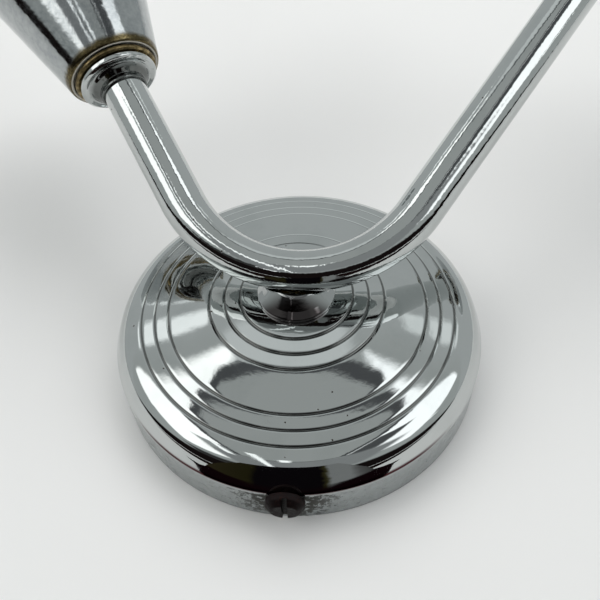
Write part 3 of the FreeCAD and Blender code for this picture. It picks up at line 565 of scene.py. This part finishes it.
def flex_line(side):
    """Smooth line from the terminal block, up the nipple and along one arm to its lampholder."""
    pole = -side * POLE_PITCH
    bore = side * FLEX_OFFSET
    into_arm = PLATE_FRAME.inverted() @ ARM_FRAME
    reach = BEND_RADIUS * math.tan((math.pi / 2 - ARM_HALF_ANGLE) / 2)
    holder = end_frame(side) @ Vector((0, 0, INSULATOR_BOTTOM - INSULATOR_GAP))
    route = [
        Vector((BLOCK_FACE, pole, POLE_LEVEL)),
        Vector((BLOCK_FACE + BLOCK_EXIT, pole, POLE_LEVEL)),
        Vector((bore, 0, POLE_LEVEL + NIPPLE_ENTRY)),
        Vector((bore, 0, TUBE_HEIGHT)),
        into_arm @ Vector((side * reach, 0, 0)),
        PLATE_FRAME.inverted() @ holder]
    curve = bpy.data.curves.new("flex_line", "CURVE")
    curve.dimensions = "3D"
    spline = curve.splines.new("NURBS")
    spline.points.add(len(route) - 1)
    for point, place in zip(spline.points, route):
        point.co = (*place, 1)
    spline.order_u = 3
    spline.use_endpoint_u = True
    spline.resolution_u = 40
    carrier = linked("flex_line", curve)
    read = applied(carrier)
    line = [vertex.co.copy() for vertex in read.vertices]
    bpy.data.meshes.remove(read)
    bpy.data.objects.remove(carrier)
    bpy.data.curves.remove(curve)
    return line


def make_flex(side, material):
    """Two cores twisted together."""
    line = flex_line(side)
    strands = []
    for phase in (0, math.pi):
        strand, travelled, before = [], 0.0, line[0]
        for here, across, third in carried_frames(line):
            travelled += (here - before).length
            before = here
            angle = phase + 2 * math.pi * travelled / FLEX_TWIST
            strand.append(here + FLEX_RADIUS / 2 * (across * math.cos(angle) + third * math.sin(angle)))
        strands.append(strand)
    name = WORD[side] + "_twisted_flex"
    mesh = wire_mesh(name, strands, FLEX_RADIUS / 2 - CORE_SLACK, PLATE_FRAME)
    flex = new_piece(name, mesh, None, material, [WORD[side] + "_flex"])
    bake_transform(flex)


# --- materials -------------------------------------------------------------------------------------
# Places within a material are in millimetres, and noise scales are per metre.

CHROME = (0.545, 0.565, 0.560)
CHROME_HAZED = (0.46, 0.485, 0.48)
PIT_BROWN = (0.045, 0.035, 0.028)
RUST_GREY = (0.085, 0.085, 0.075)
# The next three colours are painted shade: in the skirt's crease, in the tiers' grooves and in the
# ferrule's recess.
CREASE_PAINTED_SHADE = (0.055, 0.012, 0.016)
GROOVE_PAINTED_SHADE = (0.07, 0.07, 0.065)
RECESS_PAINTED_SHADE = (0.085, 0.09, 0.085)
# The next two colours are painted dark reflection on the boss: all over, and on its underside.
BOSS_PAINTED_DARK = (0.11, 0.115, 0.12)
BOSS_UNDERSIDE_PAINTED_DARK = (0.035, 0.024, 0.024)
CONE_HAZE = (0.30, 0.32, 0.33)
WORN_BRASS = (0.42, 0.335, 0.175)
TARNISH = (0.055, 0.040, 0.018)

AXIS_FOOT = Vector((0, 0, 0))
DOWN = Vector((0, 0, -1))
OUTWARDS = Vector((0, -1, 0))
# Where a mark starts and where it is full: down from the axis, and away from the screw.
BOSS_UNDERSIDE = (4.5, 8.5)
LOW_SIDE = (30, 44)
RUST_SPREAD = (24, 5)


class Graph:
    """A node tree with short calls for the nodes used here."""

    def __init__(self, tree):
        self.tree = tree

    def add(self, kind, **settings):
        node = self.tree.nodes.new(kind)
        for name, value in settings.items():
            setattr(node, name, value)
        return node

    def fill(self, socket, value):
        """Sets a socket to a number, a colour or another node's output."""
        if isinstance(value, (int, float)):
            socket.default_value = value
        elif isinstance(value, tuple):
            socket.default_value = (*value, 1) if len(socket.default_value) == 4 else value
        else:
            self.tree.links.new(value, socket)

    def math(self, operation, first, second=0.0):
        node = self.add("ShaderNodeMath", operation=operation)
        self.fill(node.inputs[0], first)
        self.fill(node.inputs[1], second)
        return node.outputs["Value"]

    def dot(self, first, second):
        node = self.add("ShaderNodeVectorMath", operation="DOT_PRODUCT")
        self.fill(node.inputs[0], first)
        self.fill(node.inputs[1], second)
        return node.outputs["Value"]

    def step(self, value, low, high):
        """Smooth step from 0 at low to 1 at high; low may be the larger of the two."""
        node = self.add("ShaderNodeMapRange", interpolation_type="SMOOTHSTEP")
        self.fill(node.inputs["Value"], value)
        falling = low > high
        node.inputs["From Min"].default_value = min(low, high)
        node.inputs["From Max"].default_value = max(low, high)
        node.inputs["To Min"].default_value = 1.0 if falling else 0.0
        node.inputs["To Max"].default_value = 0.0 if falling else 1.0
        return node.outputs["Result"]

    def band(self, value, low, high, soft):
        """1 from low to high, with each edge softened by so much to both sides."""
        return self.product(
            self.step(value, low - soft, low + soft), self.step(value, high + soft, high - soft))

    def product(self, *values):
        total = values[0]
        for value in values[1:]:
            total = self.math("MULTIPLY", total, value)
        return total

    def mix(self, factor, first, second):
        """Mixes two colours; the node's colour sockets go by number, as their names aren't unique."""
        node = self.add("ShaderNodeMix", data_type="RGBA")
        self.fill(node.inputs["Factor"], factor)
        self.fill(node.inputs[6], first)
        self.fill(node.inputs[7], second)
        return node.outputs[2]

    def ramp(self, source, stops):
        """Colour ramp; stops are (position, colour) or (position, grey value)."""
        node = self.add("ShaderNodeValToRGB")
        elements = node.color_ramp.elements
        while len(elements) < len(stops):
            elements.new(0.5)
        for element, (position, colour) in zip(elements, stops):
            element.position = position
            grey = not isinstance(colour, tuple)
            element.color = (colour, colour, colour, 1) if grey else (*colour, 1)
        self.fill(node.inputs["Fac"], source)
        return node.outputs["Color"]


class Surface(Graph):
    """A material built round its Principled shader, drawn in the piece's own coordinates."""

    def __init__(self, name):
        self.material = bpy.data.materials.new(name)
        self.material.use_nodes = True
        super().__init__(self.material.node_tree)
        self.shader = self.tree.nodes["Principled BSDF"]
        self.place = self.add("ShaderNodeTexCoord").outputs["Object"]

    def feed(self, name, value):
        self.fill(self.shader.inputs[name], value)

    def show(self, shader):
        """Shows another shader in place of the Principled one."""
        self.fill(self.tree.nodes["Material Output"].inputs["Surface"], shader)

    def noise(self, scale, detail=4.0, roughness=0.55, place=None):
        node = self.add("ShaderNodeTexNoise")
        node.inputs["Scale"].default_value = scale
        node.inputs["Detail"].default_value = detail
        node.inputs["Roughness"].default_value = roughness
        self.fill(node.inputs["Vector"], place or self.place)
        return node.outputs["Fac"]

    def spots(self, scale, reach, share):
        """1 inside small round spots: one in every cell, of which only a share is kept."""
        node = self.add("ShaderNodeTexVoronoi")
        node.inputs["Scale"].default_value = scale
        self.fill(node.inputs["Vector"], self.place)
        kept = self.add("ShaderNodeSeparateColor")
        self.fill(kept.inputs["Color"], node.outputs["Color"])
        return self.product(
            self.step(node.outputs["Distance"], reach, reach * 0.6),
            self.math("GREATER_THAN", kept.outputs["Red"], 1 - share))

    def along(self, origin, direction):
        """Distance along a direction, in millimetres, from an origin."""
        full = self.dot(self.place, tuple(direction / MM))
        return self.math("SUBTRACT", full, direction.dot(origin) / MM)

    def off_axis(self, origin, direction):
        """Distance from an axis, in millimetres."""
        shifted = self.add("ShaderNodeVectorMath", operation="SUBTRACT")
        self.fill(shifted.inputs[0], self.place)
        self.fill(shifted.inputs[1], tuple(origin))
        crossed = self.add("ShaderNodeVectorMath", operation="CROSS_PRODUCT")
        self.fill(crossed.inputs[0], shifted.outputs["Vector"])
        self.fill(crossed.inputs[1], tuple(direction / MM))
        length = self.add("ShaderNodeVectorMath", operation="LENGTH")
        self.fill(length.inputs[0], crossed.outputs["Vector"])
        return length.outputs["Value"]

    def bump(self, height, strength, distance):
        """Adds a layer of relief on top of the layers already there."""
        node = self.add("ShaderNodeBump")
        node.inputs["Strength"].default_value = strength
        node.inputs["Distance"].default_value = distance
        self.fill(node.inputs["Height"], height)
        normal = self.shader.inputs["Normal"]
        if normal.is_linked:
            self.fill(node.inputs["Normal"], normal.links[0].from_socket)
        self.fill(normal, node.outputs["Normal"])


def start_chrome(name, wave, ripple):
    """Old chrome plating; returns the surface, with a colour and a roughness still to be fed to it."""
    surface = Surface(name)
    cloud = surface.noise(70, 6)
    colour = surface.mix(surface.ramp(cloud, [(0.48, 0.0), (0.78, 0.8)]), CHROME, CHROME_HAZED)
    pits = surface.spots(260, 0.085, 0.16)
    colour = surface.mix(pits, colour, PIT_BROWN)
    haze = surface.noise(190, 7, 0.65)
    rough = surface.ramp(haze, [(0.40, 0.022), (0.62, 0.05), (0.80, 0.15)])
    rough = surface.mix(pits, rough, (0.5, 0.5, 0.5))
    surface.feed("Metallic", 1.0)
    surface.bump(surface.noise(75, 2, 0.4), wave, 0.2 * MM)
    surface.bump(surface.noise(620, 2, 0.4), ripple, 0.04 * MM)
    surface.bump(surface.noise(2600, 3, 0.5), 0.10, 0.01 * MM)
    surface.bump(pits, 0.3, -0.06 * MM)
    return surface, colour, rough


def finish_surface(surface, colour, rough):
    surface.feed("Base Color", colour)
    surface.feed("Roughness", rough)
    return surface.material


def make_plate_chrome():
    """Mirror on the face with painted shade in its grooves and a painted dark red shade line along the
    lower crease, dull on the skirt, rust round the fixing screw.
    """
    surface, colour, rough = start_chrome("plate_plating", 0.30, 0.12)
    height = surface.along(AXIS_FOOT, OUTWARDS)
    top = SKIRT_HEIGHT / MM
    skirt = surface.step(height, top - 0.4, top - 1.4)
    dull = surface.noise(420, 6, 0.7)
    matted = surface.ramp(dull, [(0.35, (0.42, 0.45, 0.45)), (0.7, (0.34, 0.36, 0.36))])
    colour = surface.mix(skirt, colour, matted)
    rough = surface.mix(skirt, rough, surface.ramp(dull, [(0.3, 0.16), (0.7, 0.32)]))
    from_screw = surface.off_axis(OUTWARDS * SCREW_HEIGHT, DOWN)
    low_side = surface.step(surface.along(AXIS_FOOT, DOWN), *LOW_SIDE)
    near = surface.product(
        surface.step(from_screw, *RUST_SPREAD), low_side, surface.step(height, top + 0.7, top - 1.8))
    blotch = surface.math("ADD", surface.noise(520, 8, 0.75), surface.product(near, 0.26))
    rust = surface.product(surface.step(blotch, 0.66, 0.74), near)
    colour = surface.mix(rust, colour, RUST_GREY)
    rough = surface.mix(rust, rough, (0.6, 0.6, 0.6))
    # Painted shade: a dark red line along the lower half of the skirt's crease.
    crease = surface.product(
        surface.step(height, top - 0.7, top - 0.1), surface.step(height, top + 1.1, top + 0.3), low_side)
    colour = surface.mix(crease, colour, CREASE_PAINTED_SHADE)
    from_axis = surface.off_axis(AXIS_FOOT, OUTWARDS)
    # Painted shade: dark lines in the tiers' grooves.
    for tier_radius, _ in OUTER_TIERS + INNER_TIERS:
        foot = tier_radius / MM
        groove = surface.band(from_axis, foot - 0.2, foot + 0.5, 0.1)
        colour = surface.mix(surface.product(groove, 0.75), colour, GROOVE_PAINTED_SHADE)
    turning = surface.noise(1500, 2, 0.5, place=turned_circles(surface))
    surface.bump(turning, 0.12, 0.01 * MM)
    return finish_surface(surface, colour, rough)


def turned_circles(surface):
    """A place that changes only with the distance from the plate's axis, for the lathe's marks."""
    distance = surface.off_axis(AXIS_FOOT, OUTWARDS)
    joined = surface.add("ShaderNodeCombineXYZ")
    surface.fill(joined.inputs["X"], surface.product(distance, MM))
    return joined.outputs["Vector"]


def make_tube_chrome():
    surface, colour, rough = start_chrome("tube_plating", 0.22, 0.9)
    return finish_surface(surface, colour, rough)


def make_boss_chrome():
    """Chrome darkened all over and darkest on the underside, both painted dark reflection."""
    surface, colour, rough = start_chrome("boss_plating", 0.25, 0.3)
    # Painted dark reflection: the whole boss is darkened, and its underside more, for the dark
    # surroundings it mirrors.
    underside = surface.step(surface.along(AXIS_FOOT, DOWN), *BOSS_UNDERSIDE)
    colour = surface.mix(0.3, colour, BOSS_PAINTED_DARK)
    colour = surface.mix(surface.product(underside, 0.9), colour, BOSS_UNDERSIDE_PAINTED_DARK)
    return finish_surface(surface, colour, rough)


def make_ferrule_chrome(side):
    """Chrome with a dirty bloom, and painted shade in the recess round the neck."""
    surface, colour, rough = start_chrome(WORD[side] + "_ferrule_plating", 0.35, 0.5)
    grime_and_shade_edge = surface.noise(500, 6, 0.7)
    colour = surface.mix(surface.ramp(grime_and_shade_edge, [(0.52, 0.0), (0.75, 0.75)]), colour, (0.26, 0.28, 0.27))
    rough = surface.mix(surface.ramp(grime_and_shade_edge, [(0.45, 0.0), (0.8, 1.0)]), rough, (0.22, 0.22, 0.22))
    axis = end_frame(side).to_3x3() @ Vector((0, 0, 1))
    from_axis = surface.off_axis(end_frame(side).translation, axis)
    neck = FERRULE_NECK_RADIUS / MM
    # Painted shade in the recess round the neck, its edge made ragged by the same noise as the dirty
    # bloom.
    recess = surface.step(surface.math("ADD", from_axis, grime_and_shade_edge), neck + 3.2, neck + 1.8)
    colour = surface.mix(surface.product(recess, 0.85), colour, RECESS_PAINTED_SHADE)
    return finish_surface(surface, colour, rough)


def make_cone_chrome(side):
    """Hazed chrome, bare brass at the foot and the mouth's bead, and yellowed enamel inside."""
    surface, colour, rough = start_chrome(WORD[side] + "_cone_plating", 0.30, 0.8)
    dirt = surface.noise(460, 8, 0.72)
    colour = surface.mix(surface.ramp(dirt, [(0.38, 0.45), (0.62, 0.85)]), colour, CONE_HAZE)
    rough = surface.mix(surface.ramp(dirt, [(0.40, 0.2), (0.66, 0.9)]), rough, (0.17, 0.17, 0.17))
    axis = end_frame(side).to_3x3() @ Vector((0, 0, 1))
    height = surface.along(end_frame(side).translation, axis)
    ragged = surface.math("ADD", height, surface.product(surface.noise(420, 6, 0.65), -1.6))
    bare = surface.step(ragged, CONE_FOOT_HEIGHT / MM + 0.4, CONE_LIP_HEIGHT / MM + 0.4)
    patina = surface.noise(1700, 6, 0.7)
    brass = surface.ramp(
        patina, [(0.40, TARNISH), (0.55, (0.12, 0.098, 0.048)), (0.72, (0.30, 0.24, 0.13))])
    colour = surface.mix(bare, colour, brass)
    rough = surface.mix(bare, rough, surface.ramp(patina, [(0.3, 0.30), (0.7, 0.14)]))
    mouth = CONE_LENGTH / MM
    worn = surface.math("ADD", height, surface.product(patina, 2.0))
    colour = surface.mix(surface.step(worn, mouth + 0.2, mouth + 0.9), colour, WORN_BRASS)
    slope = (cone_radius(CONE_LENGTH) - cone_radius(0)) / CONE_LENGTH
    middle = (cone_radius(0) - CONE_WALL / 2) / MM
    from_axis = surface.off_axis(end_frame(side).translation, axis)
    from_wall = surface.math("SUBTRACT", from_axis, surface.product(height, slope))
    inside = surface.product(
        surface.step(from_wall, middle + 0.1, middle - 0.1),
        surface.step(height, mouth - 0.7, mouth - 1.2))
    yellowed = surface.noise(60, 5)
    enamel = surface.ramp(yellowed, [(0.35, (0.74, 0.72, 0.66)), (0.7, (0.66, 0.62, 0.52))])
    colour = surface.mix(inside, colour, enamel)
    rough = surface.mix(inside, rough, surface.ramp(patina, [(0.3, 0.30), (0.7, 0.45)]))
    surface.feed("Metallic", surface.math("SUBTRACT", 1.0, inside))
    return finish_surface(surface, colour, rough)


def make_oxidised():
    """Steel gone dark red-brown, with a rough crust of rust."""
    surface = Surface("oxidised_screw")
    crust = surface.noise(900, 8, 0.7)
    fine = surface.noise(3200, 4, 0.6)
    colour = surface.ramp(crust, [
        (0.35, (0.003, 0.002, 0.002)), (0.55, (0.010, 0.004, 0.004)), (0.75, (0.035, 0.014, 0.010))])
    surface.feed("Metallic", 0.4)
    surface.feed("Specular IOR Level", 0.25)
    surface.bump(crust, 0.7, 0.2 * MM)
    surface.bump(fine, 0.4, 0.04 * MM)
    return finish_surface(surface, colour, surface.ramp(crust, [(0.3, 0.38), (0.7, 0.75)]))


def make_brass():
    """Turned brass gone brown in patches."""
    surface = Surface("tarnished_brass")
    patina = surface.noise(420, 7, 0.68)
    fine = surface.noise(2400, 4)
    colour = surface.ramp(
        patina, [(0.34, (0.06, 0.045, 0.02)), (0.50, (0.19, 0.145, 0.07)), (0.70, (0.46, 0.36, 0.19))])
    surface.feed("Metallic", 1.0)
    surface.bump(fine, 0.25, 0.02 * MM)
    return finish_surface(surface, colour, surface.ramp(patina, [(0.3, 0.45), (0.72, 0.20)]))


def make_zinc():
    """Zinc plate with a faint spangle, gone white in places."""
    surface = Surface("zinc_plate")
    cells = surface.add("ShaderNodeTexVoronoi")
    cells.inputs["Scale"].default_value = 420
    surface.fill(cells.inputs["Vector"], surface.place)
    tone = surface.add("ShaderNodeSeparateColor")
    surface.fill(tone.inputs["Color"], cells.outputs["Color"])
    spangle = surface.ramp(tone.outputs["Red"], [(0.0, (0.40, 0.41, 0.41)), (1.0, (0.56, 0.57, 0.56))])
    bloom = surface.noise(260, 7, 0.7)
    colour = surface.mix(surface.ramp(bloom, [(0.55, 0.0), (0.72, 0.8)]), spangle, (0.66, 0.65, 0.62))
    surface.feed("Metallic", surface.ramp(bloom, [(0.55, 0.95), (0.75, 0.35)]))
    surface.bump(surface.noise(1800, 4), 0.3, 0.03 * MM)
    return finish_surface(surface, colour, surface.ramp(bloom, [(0.35, 0.32), (0.7, 0.62)]))


def make_bakelite():
    """Dark brown moulding with the mottle of its wood flour and an uneven gloss."""
    surface = Surface("bakelite_moulding")
    mottle = surface.noise(700, 8, 0.75)
    rubbed = surface.noise(150, 5)
    colour = surface.ramp(mottle, [(0.35, (0.018, 0.009, 0.006)), (0.70, (0.060, 0.030, 0.018))])
    surface.bump(mottle, 0.2, 0.03 * MM)
    return finish_surface(surface, colour, surface.ramp(rubbed, [(0.35, 0.16), (0.75, 0.38)]))


def make_porcelain():
    """Glazed off-white ceramic with fine specks and a wavy glaze."""
    surface = Surface("glazed_porcelain")
    glaze = surface.noise(160, 4)
    specks = surface.spots(900, 0.10, 0.10)
    colour = surface.ramp(glaze, [(0.3, (0.78, 0.75, 0.67)), (0.7, (0.86, 0.84, 0.78))])
    colour = surface.mix(specks, colour, (0.30, 0.24, 0.17))
    surface.feed("Coat Weight", 0.6)
    surface.feed("Coat Roughness", 0.05)
    surface.bump(glaze, 0.25, 0.1 * MM)
    return finish_surface(surface, colour, surface.ramp(glaze, [(0.3, 0.18), (0.7, 0.30)]))


def make_flex_sheath():
    """Cream rubber, darkened unevenly with age."""
    surface = Surface("cream_rubber")
    age = surface.noise(240, 7, 0.7)
    colour = surface.ramp(age, [(0.35, (0.46, 0.42, 0.31)), (0.70, (0.68, 0.63, 0.50))])
    surface.feed("Subsurface Weight", 0.05)
    surface.bump(surface.noise(2200, 5, 0.7), 0.35, 0.04 * MM)
    return finish_surface(surface, colour, surface.ramp(age, [(0.3, 0.55), (0.7, 0.75)]))


def make_spring_steel():
    """Bright drawn wire with a faint grain."""
    surface = Surface("spring_wire")
    drawn = surface.noise(1800, 5, 0.6)
    colour = surface.ramp(drawn, [(0.35, (0.38, 0.38, 0.38)), (0.70, (0.60, 0.60, 0.59))])
    surface.feed("Metallic", 1.0)
    surface.bump(drawn, 0.2, 0.01 * MM)
    return finish_surface(surface, colour, surface.ramp(drawn, [(0.3, 0.34), (0.7, 0.18)]))


# --- stage, lights and camera ---------------------------------------------------------------------

CAMERA_AIM = Vector((-0.97, 0.0, 19.62)) * MM
CAMERA_DISTANCE = 217.5 * MM
CAMERA_AZIMUTH = math.radians(4.6)
CAMERA_ELEVATION = math.radians(-39.64)
CAMERA_ROLL = math.radians(4.37)
CAMERA_LENS = 39.0
CAMERA_SENSOR = 36.0
CAMERA_NEAR = 5 * MM
KEY_PLACE = (0, -0.9, 0.5)
KEY_TILT = math.radians(60)
KEY_SIZE = 0.8
KEY_POWER = 3.7
WALL_GAP = 0.4 * MM
WALL_OPENING = 52 * MM
WALL_REACH = 2.5
WALL_LIGHT = (0.865, 0.855, 0.845)
WALL_DARK = (0.84, 0.83, 0.82)


def make_camera():
    outwards = Vector((
        math.sin(CAMERA_AZIMUTH) * math.cos(CAMERA_ELEVATION),
        -math.cos(CAMERA_AZIMUTH) * math.cos(CAMERA_ELEVATION),
        math.sin(CAMERA_ELEVATION)))
    data = bpy.data.cameras.new("camera")
    data.lens = CAMERA_LENS
    data.sensor_width = CAMERA_SENSOR
    data.clip_start = CAMERA_NEAR
    camera = linked("camera", data)
    look = (-outwards).to_track_quat("-Z", "Y").to_matrix().to_4x4()
    camera.matrix_world = (
        Matrix.Translation(CAMERA_AIM + outwards * CAMERA_DISTANCE)
        @ look
        @ Matrix.Rotation(CAMERA_ROLL, 4, "Z")
    )
    bpy.context.scene.camera = camera


def stage_sheet(name, points, faces, material):
    """A flat sheet that isn't part of the light."""
    mesh = mesh_from(name, points, faces)
    mesh.materials.append(material)
    card = linked(name, mesh)
    return card


def make_wall():
    """Pale sheet in the plane of the wall, seen from the front only and open behind the canopy."""
    surface = Surface("pale_sheet")
    soft = surface.noise(3, 3)
    surface.feed("Base Color", surface.ramp(soft, [(0.3, WALL_DARK), (0.7, WALL_LIGHT)]))
    surface.feed("Roughness", 0.9)
    clear = surface.add("ShaderNodeBsdfTransparent")
    choice = surface.add("ShaderNodeMixShader")
    surface.fill(choice.inputs["Fac"], surface.add("ShaderNodeNewGeometry").outputs["Backfacing"])
    surface.fill(choice.inputs[1], surface.shader.outputs["BSDF"])
    surface.fill(choice.inputs[2], clear.outputs["BSDF"])
    surface.show(choice.outputs["Shader"])
    steps = 96
    points, faces = [], []
    for radius in (WALL_OPENING, WALL_REACH):
        for step in range(steps):
            angle = 2 * math.pi * step / steps
            points.append((radius * math.cos(angle), WALL_GAP, radius * math.sin(angle)))
    for step in range(steps):
        ahead = (step + 1) % steps
        faces.append([steps + step, steps + ahead, ahead, step])
    stage_sheet("wall_sheet", points, faces, surface.material)


# A dark table edge just below the light, which only the plating sees. In millimetres: its height, its
# outline (across, out of the wall), half the width that its tones are spread over, how far across
# each tone lies, and how far out the shade against the wall reaches.
EDGE_HEIGHT = -68
EDGE_BACK = -0.3
EDGE_OUTLINE = [
    (-58, EDGE_BACK), (-44, 3), (-39, 6), (-36, 14), (-30, 25), (-22, 36), (-10, 38), (14, 40), (22, 42),
    (28, 30), (34, 20), (38, 9), (50, 4), (60, EDGE_BACK)]
EDGE_HALF = 70
EDGE_RAGGED = 0.03
EDGE_TONES = [
    (-50, (0.005, 0.003, 0.004)), (-38, (0.030, 0.024, 0.012)), (-16, (0.018, 0.016, 0.006)),
    (-13, (0.004, 0.003, 0.004)), (13, (0.004, 0.003, 0.004)), (15, (0.040, 0.036, 0.014)),
    (17, (0.24, 0.25, 0.25)), (26, (0.24, 0.25, 0.25)), (31, (0.11, 0.11, 0.11)),
    (38, (0.05, 0.05, 0.05))]
EDGE_SHADE = (0.006, 0.002, 0.003)
EDGE_SHADE_OUT = 8
# The dark foot of the wall, also in millimetres: how far it stands out, and its outline (across, up).
FOOT_OUT = 0.3
FOOT_OUTLINE = [(-400, -130), (-90, -112), (0, -100), (90, -112), (400, -130), (400, -900), (-400, -900)]
FOOT_GLOW = (0.020, 0.012, 0.010)


def make_table_edge():
    """The dark edge below the light; nothing but the plating's reflections sees it."""
    surface = Surface("table_edge")
    ragged = surface.product(surface.noise(160, 3), EDGE_RAGGED)
    middle = surface.math("ADD", ragged, 0.5 - EDGE_RAGGED / 2)
    across = surface.dot(surface.place, (0.5 / (EDGE_HALF * MM), 0.0, 0.0))
    stops = [(0.5 + 0.5 * place / EDGE_HALF, tone) for place, tone in EDGE_TONES]
    tone = surface.ramp(surface.math("ADD", across, middle), stops)
    out = surface.along(AXIS_FOOT, OUTWARDS)
    shade = surface.step(out, EDGE_SHADE_OUT + 1, EDGE_SHADE_OUT - 1)
    make_it_glow(surface, surface.mix(shade, tone, EDGE_SHADE))
    points = [(across * MM, -out * MM, EDGE_HEIGHT * MM) for across, out in EDGE_OUTLINE]
    mirrored_card("table_edge", points, surface.material)


def make_it_glow(surface, light):
    glow = surface.add("ShaderNodeEmission")
    surface.fill(glow.inputs["Color"], light)
    surface.show(glow.outputs["Emission"])


def mirrored_card(name, points, material):
    """A flat card that is seen in reflections only."""
    card = stage_sheet(name, points, [list(range(len(points)))], material)
    card.visible_camera = False
    card.visible_diffuse = False
    card.visible_shadow = False
    card.visible_transmission = False


def make_dark_foot():
    """Below the light the plating mirrors a dark floor instead of the pale sheet."""
    surface = Surface("dark_foot")
    make_it_glow(surface, surface.ramp(surface.noise(8, 3), [(0.3, EDGE_SHADE), (0.7, FOOT_GLOW)]))
    points = [(across * MM, -FOOT_OUT * MM, up * MM) for across, up in FOOT_OUTLINE]
    mirrored_card("dark_foot", points, surface.material)


# The room that the plating mirrors, painted panel by panel, each over the ones before it:
# across from and to, up from and to (degrees from straight out of the wall), soft edge, light.
BACKDROP = (0.78, 0.79, 0.80)
ROOM_GREY = (0.46, 0.49, 0.485)
ROOM = [
    ((-180, 180), (31, 120), 4, (0.50, 0.53, 0.53)),        # ceiling
    ((-37, -29), (33, 38.5), 1, (1.35, 1.40, 1.40)),        # its lit patches
    ((24, 30), (34, 39), 1, (0.95, 1.00, 1.00)),
    ((-21, 9), (20, 32), 2, (0.74, 0.78, 0.78)),
    ((-60, -20), (-8, 25), 1.5, (1.85, 1.88, 1.86)),        # white wall on the left
    ((-58, -34), (-43, -4), 2, (1.85, 1.88, 1.86)),
    ((15, 60), (4, 24), 1.5, (1.75, 1.80, 1.82)),           # white wall on the right
    ((30, 60), (-42, 6), 2, (1.75, 1.80, 1.82)),
    ((17, 30), (-24, 4), 2, (0.10, 0.105, 0.11)),           # dark doorway
    ((10, 17), (-20, 5), 1, (1.7, 1.75, 1.75)),
    ((-34, 46), (-58, -22), 4, (0.31, 0.325, 0.33)),        # grey below
    ((-110, 110), (-180, -62), 3, (0.010, 0.007, 0.007)),   # dark floor
    ((-66, -29), (-64, -53), 3, (0.04, 0.04, 0.04)),
]
# A grey card with a dark edge, whose upper edge arches away from its middle, and thin lit strips.
CARD_MIDDLE = -4
CARD_ARCH = 0.009
CARD = [
    ((-22.2, 16.6), (-25, 18.0), 0.5, (0.095, 0.10, 0.105)),
    ((-20.2, 14.2), (-24, 15.5), 0.5, (0.44, 0.465, 0.46)),
    ((-27, -24), (-30, -12), 0.6, (1.7, 1.75, 1.75)),
    ((-15.5, -12.5), (-61, -10), 0.7, (1.7, 1.75, 1.75)),
    ((-7, -3), (-27, -20), 0.8, (1.7, 1.75, 1.75)),
    ((-34, -27), (-69, -65), 0.8, (1.7, 1.75, 1.75)),
    ((59, 65), (-63, -59), 0.8, (1.7, 1.75, 1.75)),
]


def painted(graph, light, across, up, panels):
    """Paints panels over a light, each over the ones before it."""
    for (left, right), (low, high), soft, colour in panels:
        inside = graph.product(graph.band(across, left, right, soft), graph.band(up, low, high, soft))
        light = graph.mix(inside, light, colour)
    return light


def make_world():
    """Mirrored room, painted by direction; the camera itself sees a plain pale backdrop."""
    world = bpy.data.worlds.new("soft_room")
    bpy.context.scene.world = world
    world.use_nodes = True
    graph = Graph(world.node_tree)
    direction = graph.add("ShaderNodeTexCoord").outputs["Generated"]
    apart = graph.add("ShaderNodeSeparateXYZ")
    graph.fill(apart.inputs["Vector"], direction)
    forward = graph.math("MULTIPLY", apart.outputs["Y"], -1)
    degrees = math.degrees(1)
    across = graph.product(graph.math("ARCTAN2", apart.outputs["X"], forward), degrees)
    up = graph.product(graph.math("ARCTAN2", apart.outputs["Z"], forward), degrees)
    aside = graph.math("SUBTRACT", across, CARD_MIDDLE)
    arched = graph.math("SUBTRACT", up, graph.product(aside, aside, CARD_ARCH))
    light = painted(graph, ROOM_GREY, across, up, ROOM)
    light = painted(graph, light, across, arched, CARD)
    seen = graph.add("ShaderNodeLightPath").outputs["Is Camera Ray"]
    light = graph.mix(seen, light, BACKDROP)
    graph.fill(world.node_tree.nodes["Background"].inputs["Color"], light)


def make_key_light():
    """Soft studio light that plating doesn't mirror."""
    data = bpy.data.lights.new("key", "AREA")
    data.size = KEY_SIZE
    data.energy = KEY_POWER
    light = linked("key", data)
    light.matrix_world = Matrix.Translation(KEY_PLACE) @ Matrix.Rotation(KEY_TILT, 4, "X")
    light.visible_glossy = False


def dress_inner_nodes(finishes):
    """Gives the CAD pieces behind the plate and in the lampholders the finish their slot names."""
    for subpart in frame["record"]["subparts"]:
        finish = finishes.get(subpart["material_slot"])
        if finish:
            mesh = frame["nodes"][subpart["node"]].data
            mesh.materials.clear()
            mesh.materials.append(finish)


# --- build ---------------------------------------------------------------------------------------

bpy.context.scene.view_settings.view_transform = "Standard"
make_camera()
make_wall()
make_table_edge()
make_dark_foot()
make_world()
make_key_light()
finishes = {
    "zinc_steel": make_zinc(),
    "brass": make_brass(),
    "bakelite": make_bakelite(),
    "porcelain": make_porcelain(),
    "flex_sheath": make_flex_sheath(),
    "spring_steel": make_spring_steel(),
}
make_backplate(make_plate_chrome())
make_boss(make_boss_chrome())
make_tube(make_tube_chrome())
make_screw(make_oxidised())
for side in (-1, 1):
    make_ferrule(side, make_ferrule_chrome(side))
    make_seat_washer(side, finishes["brass"])
    make_cone(side, make_cone_chrome(side))
    make_flex(side, finishes["flex_sheath"])
    for way, letter in ((-1, "a"), (1, "b")):
        make_spring(side, way, letter, finishes["spring_steel"])
dress_inner_nodes(finishes)
